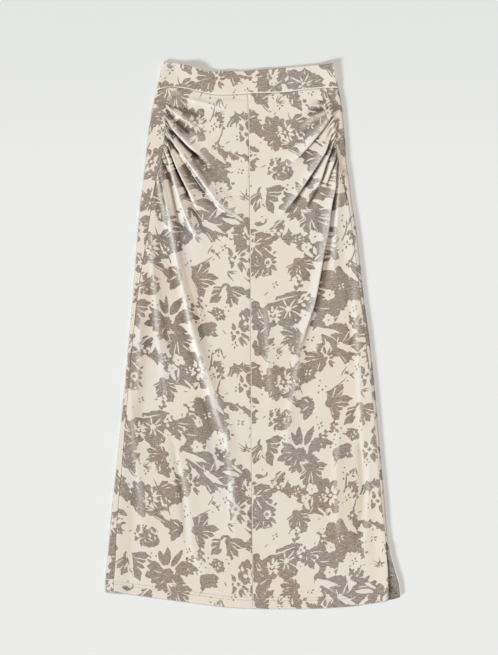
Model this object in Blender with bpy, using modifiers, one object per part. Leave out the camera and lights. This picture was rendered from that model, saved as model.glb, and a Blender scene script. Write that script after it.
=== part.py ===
"""A long gathered skirt laid flat, in metres, +Z up, its waist towards +Y and its back resting on z = 0.

The back panel lies flat and turns up and over at both sides, so the side seams lie on the front. The two
front halves are gathered into those seams and meet at a centre-front seam. Every piece is an open sheet
through computed rows and columns, given its cloth by Solidify.
"""

import math
from collections import namedtuple

import bpy
import numpy as np

MM = 0.001

# Cloth and seams
CLOTH = 1.2 * MM
BAND_CLOTH = 1.8 * MM
SEAM_GAP = 0.3 * MM

# Levels of the middle of each wall
BACK_LEVEL = CLOTH / 2
FRONT_LEVEL = CLOTH + SEAM_GAP + CLOTH / 2
ROLL_RADIUS = 2.4 * MM
SEAM_LEVEL = BACK_LEVEL + 2 * ROLL_RADIUS
SIDE_SLOPE_REACH = 30 * MM
BAND_BACK_LEVEL = BAND_CLOTH / 2
BAND_FRONT_LEVEL = BAND_CLOTH + SEAM_GAP + BAND_CLOTH / 2
BAND_ROLL_RADIUS = 2.2 * MM
BAND_ROLL_LEVEL = BAND_BACK_LEVEL + 2 * BAND_ROLL_RADIUS
BAND_STRIP = 6 * MM
BAND_LIFT = 3 * MM
BAND_LIFT_PLACE = -108 * MM
BAND_LIFT_REACH = 26 * MM

# Length, from the waist seam's middle level to the lowest point of the hem
WAIST_LEVEL = 454 * MM
HEM_LEVEL = -505 * MM
WAIST_CURVE_REACH = 60 * MM
HEM_CURVE_REACH = 90 * MM

# The right side seam ends here and leaves a slit, whose edge unrolls over this length
SLIT_TOP = -379 * MM
SLIT_UNROLL = 24 * MM
SLIT_ROWS = 4
SLIT_ROW_CLEARANCE = 5 * MM
SLIT_DROP_REACH = 45 * MM
SLIT_FRONT_EDGE_LEVEL = 3.4 * MM

# Widths in mm: a row for each level down the skirt, from the waist seam to the hem
Section = namedtuple("Section", "y left_edge left_seam centre right_seam right_edge")
SECTIONS = [
    Section(454, -178, -158, -10, 135, 157),
    Section(428, -185, -161, -9.5, 143, 163),
    Section(406, -188, -162, -9, 148, 166),
    Section(384, -192, -163, -9, 151, 168),
    Section(358, -195, -165, -8.5, 153, 170),
    Section(324, -198, -170, -8, 157, 172),
    Section(291, -202, -179, -7.5, 165, 177),
    Section(250, -207.5, -187, -7, 175, 182),
    Section(184, -213, -196, -6.5, 184, 192),
    Section(127, -217.5, -206, -6, 192, 198.5),
    Section(65, -222.5, -215, -5.5, 199, 205),
    Section(-9, -229, -223, -5.5, 208, 215),
    Section(-83, -236, -230, -5, 217, 223),
    Section(-157, -243, -236, -4.5, 224, 230),
    Section(-231, -251, -242, -4, 230, 236),
    Section(-305, -259, -249, -3, 237, 243),
    Section(-379, -265.5, -254, -2.5, 244.5, 250.5),
    Section(-401, -267.5, -254.5, -2.2, 246, 256),
    Section(-434, -271, -256, -2, 248.5, 263.5),
    Section(-471, -272.4, -258, -1.5, 250, 270.5),
    Section(-505, -272.4, -258.5, -1.2, 250, 272.4),
]

# Curves across the skirt in mm: where the waist seam, the top of the band and the hem run
Point = namedtuple("Point", "x y")
WAIST_SEAM = [
    Point(-178, 453), Point(-161, 457), Point(-132, 457), Point(-99, 450), Point(-73, 445.3), Point(-29, 445.3),
    Point(-6, 447), Point(66, 450), Point(87, 453), Point(136, 457), Point(157, 457),
]
BAND_TOP = [
    Point(-166, 505.2), Point(-147, 504), Point(-124, 499), Point(-103, 493.5), Point(-85, 488.6), Point(-72, 487.5),
    Point(-47, 488.6), Point(-24, 488.4), Point(-6, 489.7), Point(21, 491.7), Point(60, 495), Point(92, 497.5),
    Point(131, 501), Point(150, 502.3),
]
HEM = [
    Point(-272.4, -472), Point(-206, -481.5), Point(-147, -489.5), Point(-98, -496), Point(-55, -501.5),
    Point(-6, -504.6), Point(55, -505.2), Point(116, -504.5), Point(166, -501.8), Point(207, -497.5),
    Point(236, -492), Point(264, -486.5), Point(272.4, -483),
]
BAND_LEFT_EDGE = (-178 * MM, -166 * MM)
BAND_RIGHT_EDGE = (157 * MM, 150 * MM)

# The front's rows run from the side seam down to the centre, as the gathered cloth does
DrapeRow = namedtuple("DrapeRow", "seam_y centre_y rows")
DRAPE_ROWS = [
    DrapeRow(454, 454, 0),
    DrapeRow(438, 430, 3),
    DrapeRow(288, -20, 28),
    DrapeRow(-379, -410, 15),
    DrapeRow(-505, -505, 5),
]
DRAPE_CURVE = 1.25
FRONT_COLUMNS = 22
PUCKERS = 14
PUCKER_HEIGHT = 0.9 * MM
PUCKER_REACH = 22 * MM
GATHER_TOP = 438 * MM
GATHER_END = 288 * MM
PUCKERS_FADE_SHARE = 0.08

# Folds in mm: a curve from start through the pull of bend to end, its half width at both ends, its height
# and how far its crest leans over to the right of that way, from -1 to 1
Fold = namedtuple("Fold", "start bend end narrow wide height lean")
FOLDS = [
    Fold((-160, 430), (-128, 404), (-90, 380), 5, 12, 3.5, 0.2),
    Fold((-160, 406), (-117, 365), (-73, 295), 5, 12, 6.5, 0.2),
    Fold((-161, 376), (-110, 312), (-8, 200), 4, 9, 6.5, 0.1),
    Fold((-160, 358), (-132, 322), (-91, 250), 4, 8, 4.5, 0.1),
    Fold((-160, 343), (-136, 246), (-84, 154), 4, 10, 5.5, 0.2),
    Fold((-166, 328), (-152, 246), (-113, 147), 3.5, 8, 3.5, 0),
    Fold((-172, 311), (-158, 117), (-60, -171), 4, 12, 5, 0.3),
    Fold((-178, 297), (-180, 223), (-160, 84), 4, 9, 3, 0),
    Fold((-194, 195), (-184, -9), (-160, -166), 6, 12, 2.4, 0),
    Fold((-130, -342), (-106, -410), (-71, -467), 9, 13, 2, 0),
    Fold((-226, -150), (-222, -290), (-205, -420), 8, 14, 1.6, 0),
    Fold((138, 429), (114, 427), (83, 420), 5, 8, 2.5, 0),
    Fold((145, 414), (118, 398), (64, 335), 7, 17, 5.5, -0.5),
    Fold((149, 384), (120, 350), (61, 262), 5, 11, 5.5, -0.5),
    Fold((151, 358), (132, 320), (83, 236), 4, 8, 5, -0.4),
    Fold((153, 340), (144, 300), (116, 243), 3.5, 7, 4.5, -0.4),
    Fold((158, 324), (147, 250), (104, 90), 4, 11, 6.5, -0.6),
    Fold((163, 306), (158, 215), (120, 10), 4, 10, 3.2, 0),
    Fold((172, 269), (174, 176), (153, 1), 5, 12, 2.5, 0),
    Fold((187, 93), (196, -83), (209, -323), 7, 12, 2, 0),
    Fold((86, -31), (70, -120), (57, -249), 8, 14, 1.6, 0),
]
FOLD_STEPS = 20
FOLD_START_SHARE = 0.35
FOLD_SWELL_END = 0.22
FOLD_FADE_START = 0.45
FOLD_LEAN_PULL = 0.6
FOLD_FADE_FROM_WAIST = 14 * MM

# Parts of the back's section
ROLL_STEPS = 4
STRIP_COLUMNS = 2
BAND_ROWS = 3
BAND_COLUMNS = 40

CREAM = (0.83, 0.77, 0.67, 1.0)
TAUPE = (0.33, 0.27, 0.22, 1.0)
SATIN_ROUGHNESS = 0.55


def curve_through(points, places):
    """A smooth curve through (place, value) points in mm, read at places in metres."""
    xs = np.array([point[0] for point in points]) * MM
    ys = np.array([point[1] for point in points]) * MM
    if xs[0] > xs[-1]:
        xs = xs[::-1]
        ys = ys[::-1]
    slopes = np.gradient(ys, xs)
    at = np.clip(places, xs[0], xs[-1])
    i = np.clip(np.searchsorted(xs, at) - 1, 0, len(xs) - 2)
    span = xs[i + 1] - xs[i]
    t = (at - xs[i]) / span
    rise = t * t * (3 - 2 * t)
    start_pull = t * (1 - t) ** 2
    end_pull = t * t * (t - 1)
    return ys[i] + (ys[i + 1] - ys[i]) * rise + span * (slopes[i] * start_pull + slopes[i + 1] * end_pull)


def width_at(column, levels):
    return curve_through([(row.y, getattr(row, column)) for row in SECTIONS], levels)


def ease(t):
    t = np.clip(t, 0.0, 1.0)
    return t * t * (3 - 2 * t)


def bent_to_edges(x, level):
    """The real y of a point at a nominal level, as the waist seam dips and the hem curves."""
    waist_share = ease(1 - (WAIST_LEVEL - level) / WAIST_CURVE_REACH)
    hem_share = ease(1 - (level - HEM_LEVEL) / HEM_CURVE_REACH)
    waist_shift = curve_through(WAIST_SEAM, x) - SEAM_GAP / 2 - WAIST_LEVEL
    hem_shift = curve_through(HEM, x) - HEM_LEVEL
    return level + waist_shift * waist_share + hem_shift * hem_share


def fold_line(fold):
    """Points along a fold's curve in metres, and how far along it each lies, 0 to 1."""
    t = np.linspace(0, 1, FOLD_STEPS + 1)
    start, bend, end = (np.array(p) * MM for p in (fold.start, fold.bend, fold.end))
    line = np.outer((1 - t) ** 2, start) + np.outer(2 * t * (1 - t), bend) + np.outer(t * t, end)
    return line, t


def fold_height(fold, x, y):
    """How far one fold raises the cloth at each point."""
    line, t = fold_line(fold)
    nearest = np.full(x.shape, np.inf)
    side = np.zeros(x.shape)
    along = np.zeros(x.shape)
    for i in range(FOLD_STEPS):
        run = line[i + 1] - line[i]
        dx = x - line[i][0]
        dy = y - line[i][1]
        share = np.clip((dx * run[0] + dy * run[1]) / (run @ run), 0, 1)
        distance = np.hypot(dx - share * run[0], dy - share * run[1])
        closer = distance < nearest
        nearest = np.where(closer, distance, nearest)
        side = np.where(closer, np.sign(run[0] * dy - run[1] * dx), side)
        along = np.where(closer, t[i] + share * (t[i + 1] - t[i]), along)
    half_width = (fold.narrow + (fold.wide - fold.narrow) * along) * MM
    half_width = half_width * (1 + fold.lean * side * FOLD_LEAN_PULL)
    swell = FOLD_START_SHARE + (1 - FOLD_START_SHARE) * ease(along / FOLD_SWELL_END)
    fade = 1 - ease((along - FOLD_FADE_START) / (1 - FOLD_FADE_START))
    return fold.height * MM * swell * fade * np.exp(-((nearest / half_width) ** 2))


def front_level(x, y, level):
    """The level of the front's wall: its rest on the back, the rise to the side seams, and its folds."""
    to_left_seam = x - width_at("left_seam", level)
    to_right_seam = width_at("right_seam", level) - x
    seam_rise = SEAM_LEVEL - FRONT_LEVEL
    slit_drop = (SEAM_LEVEL - SLIT_FRONT_EDGE_LEVEL) * ease((SLIT_TOP - level) / SLIT_DROP_REACH)
    rise = seam_rise * (1 - ease(to_left_seam / SIDE_SLOPE_REACH))
    rise = rise + (seam_rise - slit_drop) * (1 - ease(to_right_seam / SIDE_SLOPE_REACH))
    folds = sum(fold_height(fold, x, y) for fold in FOLDS)
    from_waist = curve_through(WAIST_SEAM, x) - y
    away = ease(from_waist / FOLD_FADE_FROM_WAIST)
    rise = np.maximum(rise, (BAND_FRONT_LEVEL - FRONT_LEVEL) * (1 - away))
    return FRONT_LEVEL + rise + folds * away


def drape_levels():
    """The nominal levels of the front's rows at the side seam and at the centre."""
    seam = []
    centre = []
    for above, below in zip(DRAPE_ROWS, DRAPE_ROWS[1:]):
        share = np.arange(below.rows) / below.rows
        seam.extend((above.seam_y + (below.seam_y - above.seam_y) * share) * MM)
        centre.extend((above.centre_y + (below.centre_y - above.centre_y) * share) * MM)
    seam.append(DRAPE_ROWS[-1].seam_y * MM)
    centre.append(DRAPE_ROWS[-1].centre_y * MM)
    return np.array(seam), np.array(centre)


def puckers(level_at_seam, from_seam):
    """The small gathers drawn into a side seam, which die out a little way from it."""
    share = (GATHER_TOP - level_at_seam) / (GATHER_TOP - GATHER_END)
    inside = ease(share / PUCKERS_FADE_SHARE) * ease((1 - share) / PUCKERS_FADE_SHARE)
    wave = np.cos(2 * math.pi * PUCKERS * share)
    return PUCKER_HEIGHT * wave * inside * (1 - ease(from_seam / PUCKER_REACH))


def front_sheet(side):
    """Rows of points of one front half, from its side seam (first column) to the centre-front seam."""
    seam_levels, centre_levels = drape_levels()
    u = np.linspace(0, 1, FRONT_COLUMNS + 1)
    share = 1 - (1 - u) ** DRAPE_CURVE
    level = seam_levels[:, None] + (centre_levels - seam_levels)[:, None] * share[None, :]
    seam = width_at(f"{side}_seam", level)
    centre = width_at("centre", level)
    inwards = 1 if side == "left" else -1
    x = seam + (centre - seam) * u[None, :]
    x = x + inwards * SEAM_GAP / 2 * (1 - 2 * u[None, :])
    y = bent_to_edges(x, level)
    z = front_level(x, y, level)
    z = z + puckers(seam_levels[:, None] + 0 * level, np.abs(x - seam))
    z = np.maximum(z, FRONT_LEVEL)
    return np.dstack([x, y, z])


def back_levels():
    """The back's rows: the front's seam rows as far as the slit, and closer ones where its edge unrolls."""
    seam_levels, _ = drape_levels()
    unroll = SLIT_TOP - SLIT_UNROLL * np.arange(1, SLIT_ROWS + 1) / SLIT_ROWS
    below = seam_levels[seam_levels < unroll[-1] - SLIT_ROW_CLEARANCE]
    return np.concatenate([seam_levels[seam_levels >= SLIT_TOP], unroll, below])


def rolled_side(outer, strip, unrolled, radius, wall_level, wall):
    """Points of a section from the flat part out round the roll to the strip's end, as (inwards, up)."""
    turn = math.pi * (1 - unrolled)
    arc = math.pi * radius
    rolled_start = radius + wall / 2
    flat_start = arc + strip
    start = rolled_start + (flat_start - rolled_start) * unrolled
    lengths = [arc * k / ROLL_STEPS for k in range(ROLL_STEPS + 1)]
    lengths += [arc + strip * k / STRIP_COLUMNS for k in range(1, STRIP_COLUMNS + 1)]
    points = []
    for length in lengths:
        on_arc = min(length, arc)
        angle = turn * on_arc / arc
        if turn < 0.01:
            out = on_arc
            up = 0.0
        else:
            out = arc / turn * math.sin(angle)
            up = arc / turn * (1 - math.cos(angle))
        beyond = length - on_arc
        out += beyond * math.cos(angle)
        up += beyond * math.sin(angle)
        points.append((outer - start + out, wall_level + up))
    return points


def back_sheet():
    """Rows of points of the back, from the left strip's end round the left side, across and round the right."""
    knots = [p.x * MM for p in WAIST_SEAM[1:-1]]
    inset = ROLL_RADIUS + CLOTH / 2
    top_left = SECTIONS[0].left_edge * MM + inset
    top_right = SECTIONS[0].right_edge * MM - inset
    shares = [(knot - top_left) / (top_right - top_left) for knot in knots]
    rows = []
    for level in back_levels():
        at = np.array([level])
        left_edge, left_seam, right_seam, right_edge = (
            float(width_at(name, at)[0]) for name in ("left_edge", "left_seam", "right_seam", "right_edge")
        )
        unrolled = float(ease((SLIT_TOP - level) / SLIT_UNROLL))
        left_strip = left_seam - left_edge - inset - SEAM_GAP / 2
        right_strip = right_edge - right_seam - inset - SEAM_GAP / 2
        if level < SLIT_TOP:
            slit_seam = float(width_at("right_seam", np.array([SLIT_TOP]))[0])
            slit_edge = float(width_at("right_edge", np.array([SLIT_TOP]))[0])
            right_strip = slit_edge - slit_seam - inset - SEAM_GAP / 2
        left = rolled_side(-left_edge, left_strip, 0.0, ROLL_RADIUS, BACK_LEVEL, CLOTH)
        right = rolled_side(right_edge, right_strip, unrolled, ROLL_RADIUS, BACK_LEVEL, CLOTH)
        section = [(-out, up) for out, up in reversed(left)]
        first = section[-1][0]
        last = right[0][0]
        section += [(first + (last - first) * share, BACK_LEVEL) for share in shares]
        section += right
        x = np.array([p[0] for p in section])
        z = np.array([p[1] for p in section])
        rows.append(np.column_stack([x, bent_to_edges(x, np.full(x.shape, level)), z]))
    return np.array(rows)


def band_edges(share):
    """The band's left and right edges at a share of its height, 0 at the waist seam and 1 at the top."""
    left = BAND_LEFT_EDGE[0] + (BAND_LEFT_EDGE[1] - BAND_LEFT_EDGE[0]) * share
    right = BAND_RIGHT_EDGE[0] + (BAND_RIGHT_EDGE[1] - BAND_RIGHT_EDGE[0]) * share
    return left, right


def band_y(x, share):
    bottom = curve_through(WAIST_SEAM, x) + SEAM_GAP / 2
    return bottom + (curve_through(BAND_TOP, x) - bottom) * share


def band_front_sheet():
    """Rows of points of the band's front, which turns under at both sides."""
    rows = []
    for share in np.linspace(0, 1, BAND_ROWS + 1):
        left_edge, right_edge = band_edges(share)
        turned = rolled_side(0.0, BAND_STRIP, 0.0, BAND_ROLL_RADIUS, 0.0, BAND_CLOTH)
        left = [(left_edge - out, BAND_ROLL_LEVEL - up) for out, up in reversed(turned)]
        right = [(right_edge + out, BAND_ROLL_LEVEL - up) for out, up in turned]
        first = left[-1][0]
        last = right[0][0]
        across = np.linspace(first, last, BAND_COLUMNS + 1)[1:-1]
        inwards = np.minimum(across - first, last - across)
        drop = (BAND_ROLL_LEVEL - BAND_FRONT_LEVEL) * ease(inwards / SIDE_SLOPE_REACH)
        lift = BAND_LIFT * share**2 * np.exp(-(((across - BAND_LIFT_PLACE) / BAND_LIFT_REACH) ** 2))
        x = np.concatenate([[p[0] for p in left], across, [p[0] for p in right]])
        z = np.concatenate([[p[1] for p in left], BAND_ROLL_LEVEL - drop + lift, [p[1] for p in right]])
        rows.append(np.column_stack([x, band_y(x, share), z]))
    return np.array(rows)[::-1]


def band_back_sheet():
    """Rows of points of the band's back, flat between the ends of the front's turned strips."""
    knots = [p.x * MM for p in WAIST_SEAM[1:-1]]
    bottom_left, bottom_right = band_edges(0.0)
    return_end = BAND_ROLL_RADIUS + BAND_CLOTH / 2 + BAND_STRIP + SEAM_GAP
    width = bottom_right - bottom_left - 2 * return_end
    shares = [0.0] + [(knot - bottom_left - return_end) / width for knot in knots] + [1.0]
    rows = []
    for share in np.linspace(0, 1, BAND_ROWS + 1):
        left_edge, right_edge = band_edges(share)
        start = left_edge + return_end
        end = right_edge - return_end
        x = start + (end - start) * np.array(shares)
        rows.append(np.column_stack([x, band_y(x, share), np.full(x.shape, BAND_BACK_LEVEL)]))
    return np.array(rows)[::-1]


def fabric(name, colour):
    material = bpy.data.materials.new(name)
    material.use_nodes = True
    shader = material.node_tree.nodes["Principled BSDF"]
    shader.inputs["Base Color"].default_value = colour
    shader.inputs["Roughness"].default_value = SATIN_ROUGHNESS
    shader.inputs["Metallic"].default_value = 0.0
    return material


def sewn_piece(name, sheet, wall, material, collection):
    """One piece of cloth: a sheet through rows of points, left to right and top to bottom, with a wall."""
    rows, columns, _ = sheet.shape
    faces = [
        (r * columns + c, (r + 1) * columns + c, (r + 1) * columns + c + 1, r * columns + c + 1)
        for r in range(rows - 1)
        for c in range(columns - 1)
    ]
    mesh = bpy.data.meshes.new(name)
    mesh.from_pydata(sheet.reshape(-1, 3).tolist(), [], faces)
    mesh.materials.append(material)
    mesh.shade_smooth()
    piece = bpy.data.objects.new(name, mesh)
    collection.objects.link(piece)
    shell = piece.modifiers.new("cloth", "SOLIDIFY")
    shell.thickness = wall
    shell.offset = 0.0
    shell.use_rim = True
    return piece


def build_skirt():
    for old in list(bpy.data.objects):
        bpy.data.objects.remove(old, do_unlink=True)
    skirt = bpy.data.collections.new("gathered_skirt")
    bpy.context.scene.collection.children.link(skirt)
    printed = fabric("printed_satin", CREAM)
    shaded = fabric("printed_satin_back", TAUPE)
    left = front_sheet("left")
    right = front_sheet("right")[:, ::-1]
    sewn_piece("front_left", left, CLOTH, printed, skirt)
    sewn_piece("front_right", right, CLOTH, printed, skirt)
    sewn_piece("back", back_sheet(), CLOTH, shaded, skirt)
    sewn_piece("waistband_front", band_front_sheet(), BAND_CLOTH, printed, skirt)
    sewn_piece("waistband_back", band_back_sheet(), BAND_CLOTH, shaded, skirt)


build_skirt()
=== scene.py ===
"""The gathered skirt as it lies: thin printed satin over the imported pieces, its folds, seams and stitching.

Sizes are in metres and the tables in mm, in the frame's own axes: waist towards +Y, front upwards.
"""

import math
from collections import namedtuple

import bpy
import numpy as np
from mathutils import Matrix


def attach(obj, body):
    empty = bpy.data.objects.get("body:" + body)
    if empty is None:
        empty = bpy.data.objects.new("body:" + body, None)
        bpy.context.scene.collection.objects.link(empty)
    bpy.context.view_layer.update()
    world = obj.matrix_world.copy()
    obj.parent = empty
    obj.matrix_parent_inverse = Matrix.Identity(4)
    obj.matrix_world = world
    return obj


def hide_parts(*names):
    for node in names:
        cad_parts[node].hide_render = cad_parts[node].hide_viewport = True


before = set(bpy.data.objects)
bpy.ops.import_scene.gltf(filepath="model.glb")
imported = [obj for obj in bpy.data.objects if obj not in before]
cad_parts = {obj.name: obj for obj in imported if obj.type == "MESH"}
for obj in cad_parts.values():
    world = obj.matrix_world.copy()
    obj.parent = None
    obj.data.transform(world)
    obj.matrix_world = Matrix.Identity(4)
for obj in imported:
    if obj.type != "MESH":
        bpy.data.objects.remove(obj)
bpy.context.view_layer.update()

MM = 0.001

# The camera looks straight down from the photographer's place
PICTURE_HEIGHT = 1.2118
CAMERA_PLACE = (-0.0079, 0.0146)
CAMERA_HEIGHT = 3.2

# The cloth's thickness and the levels of its upper face
CLOTH = 1.0 * MM
SEAM_GAP = 0.3 * MM
BACK_TOP = 1.2 * MM
FRONT_TOP = 2.7 * MM
LEAST_CLEARANCE = 0.2 * MM
ROLL_RADIUS = 3.0 * MM
SEAM_TOP = 6.0 * MM
SEAM_DIP = 0.9 * MM
SEAM_DIP_REACH = 2.2 * MM
SIDE_SLOPE_REACH = 30 * MM

# The waistband: its right end and one place along its top stand a little higher
BAND_DEPTH = 44 * MM
BAND_TOP_LEVEL = 3.9 * MM
BAND_ROLL_RADIUS = 3.1 * MM
BAND_STRIP = 6 * MM
BAND_BACK_TOP = 1.8 * MM
BAND_BACK_WALL = 1.8 * MM
BAND_RIGHT_RISE = 1.7 * MM
BAND_RIGHT_LEAST = 0.35
BAND_RIGHT_REACH = 42 * MM
BAND_LIFT = 7 * MM
BAND_LIFT_PLACE = -112 * MM
BAND_LIFT_REACH = 24 * MM
BAND_RIPPLE = 0.35 * MM
BAND_RIPPLE_LENGTH = 17 * MM
BAND_RIPPLE_DRIFT = 41 * MM
BAND_RIPPLE_LEAST = 0.4
BAND_SEAM_DIP = 0.3 * MM
BAND_SEAM_DIP_REACH = 2.0 * MM
BAND_TOP_DIP = 0.5 * MM
BAND_TOP_DIP_REACH = 1.6 * MM

# The waist, the hem, and the slit, where the back lies open and its edge curls up
WAIST_LEVEL = 454 * MM
HEM_LEVEL = -505 * MM
WAIST_CURVE_REACH = 60 * MM
HEM_CURVE_REACH = 90 * MM
SLIT_TOP = -379 * MM
SLIT_UNROLL = 24 * MM
SLIT_PULLS_IN = 0.6
SLIT_CURL = 4 * MM
SLIT_CURL_REACH = 14 * MM
SLIT_FRONT_EDGE_TOP = 4.6 * MM

# Widths in mm: a row for each level down the skirt
Section = namedtuple("Section", "y left_edge left_seam centre right_seam right_edge")
SECTIONS = [
    Section(454, -178, -158, -10, 135, 157),
    Section(428, -185, -161, -9.5, 143, 163),
    Section(406, -188, -162, -9, 148, 166),
    Section(384, -192, -163, -9, 151, 168),
    Section(358, -195, -165, -8.5, 153, 170),
    Section(324, -198, -170, -8, 157, 172),
    Section(291, -202, -179, -7.5, 165, 177),
    Section(250, -207.5, -187, -7, 175, 182),
    Section(184, -213, -196, -6.5, 184, 192),
    Section(127, -217.5, -206, -6, 192, 198.5),
    Section(65, -222.5, -215, -5.5, 199, 205),
    Section(-9, -229, -223, -5.5, 208, 215),
    Section(-83, -236, -230, -5, 217, 223),
    Section(-157, -243, -236, -4.5, 224, 230),
    Section(-231, -251, -242, -4, 230, 236),
    Section(-305, -259, -249, -3, 237, 243),
    Section(-379, -265.5, -254, -2.5, 244.5, 249.5),
    Section(-401, -267.5, -254.5, -2.2, 246, 253.5),
    Section(-434, -271, -256, -2, 248.5, 261.8),
    Section(-471, -272.4, -258, -1.5, 250, 269.4),
    Section(-505, -272.4, -258.5, -1.2, 250, 272.4),
]

# Curves across the skirt in mm
Point = namedtuple("Point", "x y")
WAIST_SEAM = [
    Point(-178, 453), Point(-161, 457), Point(-132, 457), Point(-99, 450), Point(-73, 445.3),
    Point(-29, 445.3), Point(-6, 447), Point(66, 450), Point(87, 453), Point(136, 457), Point(157, 457),
]
BAND_TOP = [
    Point(-166, 505.2), Point(-147, 504), Point(-124, 499), Point(-103, 493.5), Point(-85, 488.6),
    Point(-72, 487.5), Point(-47, 488.6), Point(-24, 488.4), Point(-6, 489.7), Point(21, 491.7),
    Point(60, 495), Point(92, 497.5), Point(131, 501), Point(150, 502.3),
]
HEM = [
    Point(-272.4, -472), Point(-206, -481.5), Point(-147, -489.5), Point(-98, -496), Point(-55, -501.5),
    Point(-6, -504.6), Point(55, -505.2), Point(116, -504.5), Point(166, -501.8), Point(207, -497.5),
    Point(236, -492), Point(264, -486.5), Point(272.4, -483),
]
BAND_LEFT_EDGE = (-178 * MM, -166 * MM)
BAND_RIGHT_EDGE = (157 * MM, 150 * MM)

# Folds in mm: the line of the crest down the skirt, its half widths to the left and the right, its height,
# the share of the way where it starts to die out, and how far the crest hangs over to the right
Fold = namedtuple("Fold", "line left right height hold over")
FOLDS = [
    Fold([(-160, 424), (-143, 410), (-124, 397), (-106, 385), (-87, 376)], 5, 10, 8.5, 0.45, -2.2),
    Fold([(-121, 436), (-89, 428), (-58, 417), (-34, 402)], 9, 8, 4.4, 0.5, 0),
    Fold([(-160, 400), (-150, 388), (-137, 373), (-117, 353), (-97, 336), (-82, 319), (-69, 302)],
         4.5, 12, 10.4, 0.5, -4.4),
    Fold([(-160, 378), (-152, 367), (-136, 345), (-117, 319), (-104, 302), (-91, 284), (-76, 264),
          (-60, 243), (-39, 226), (-13, 202)], 6, 8, 10.4, 0.7, -3),
    Fold([(-158, 354), (-148, 337), (-139, 315), (-130, 295), (-117, 269), (-108, 249), (-93, 217)],
         4.5, 7, 7.6, 0.55, -3.4),
    Fold([(-161, 336), (-156, 324), (-147, 295), (-137, 260), (-128, 232), (-115, 202), (-99, 175),
          (-86, 158)], 5, 8, 7.6, 0.6, -2),
    Fold([(-173, 315), (-163, 250), (-151, 186), (-140, 127), (-127, 69), (-116, 9), (-103, -34),
          (-85, -95), (-69, -144), (-52, -194), (-32, -238)], 9, 8, 5.2, 0.8, 1.2),
    Fold([(-178, 302), (-173, 269), (-166, 228), (-158, 176)], 5, 6, 4, 0.5, 0),
    Fold([(-150, 343), (-143, 326), (-134, 306), (-126, 291)], 3, 3.5, 3.2, 0.5, -1),
    Fold([(-191, 184), (-181, 69), (-175, -9), (-165, -86), (-161, -153)], 9, 10, 3.8, 0.6, 0),
    Fold([(-124, 65), (-106, -9), (-86, -68), (-58, -138), (-32, -186)], 7, 9, 3.6, 0.6, 0),
    Fold([(-143, -197), (-121, -305), (-106, -410), (-73, -460)], 13, 15, 3.2, 0.8, 0),
    Fold([(-226, -83), (-221, -194), (-208, -305), (-198, -416)], 12, 14, 2.8, 0.6, 0),
    Fold([(-52, -157), (-45, -231), (-39, -305), (-32, -397)], 10, 12, 3.6, 0.6, 0),
    Fold([(138, 426), (114, 424), (92, 422)], 4, 4, 4.4, 0.5, 0),
    Fold([(144, 417), (120, 406), (96, 391), (79, 378)], 7, 8, 6, 0.5, 0),
    Fold([(144, 405), (127, 386), (111, 367), (92, 345), (70, 321), (49, 300)], 19, 5, 7.8, 0.5, 5.1),
    Fold([(140, 363), (129, 343), (116, 321), (101, 299), (86, 276), (72, 256), (57, 234), (44, 215)],
         12, 4.5, 9.8, 0.7, 6),
    Fold([(144, 349), (135, 328), (127, 306), (120, 282), (111, 262)], 7, 3.5, 7.4, 0.6, 3.4),
    Fold([(150, 337), (144, 317), (139, 302), (135, 286), (129, 269)], 5, 3, 6.2, 0.6, 2.5),
    Fold([(153, 324), (149, 302), (146, 276), (140, 250), (136, 225), (133, 195), (125, 158), (115, 102),
          (105, 53), (92, 12), (83, -25), (66, -92)], 12, 5, 9.8, 0.6, 6.8),
    Fold([(161, 297), (157, 260), (155, 213), (149, 139), (142, 65)], 7, 8, 4.6, 0.5, 0),
    Fold([(127, 395), (112, 378), (96, 361), (79, 345)], 8, 6, 3.2, 0.5, 1),
    Fold([(186, 93), (196, -83), (209, -323)], 11, 12, 3.8, 0.6, 0),
    Fold([(86, -31), (70, -120), (57, -249)], 12, 12, 3.8, 0.6, 0),
    Fold([(157, -175), (153, -268), (160, -416)], 13, 14, 3.4, 0.6, 0),
    Fold([(213, -230), (211, -330), (201, -440)], 9, 11, 2.6, 0.6, 0),
    Fold([(20, 60), (28, -60), (33, -160)], 9, 12, 3, 0.6, 0),
    Fold([(-208, 40), (-212, -60), (-216, -150)], 8, 9, 3.4, 0.6, 0),
]

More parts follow.
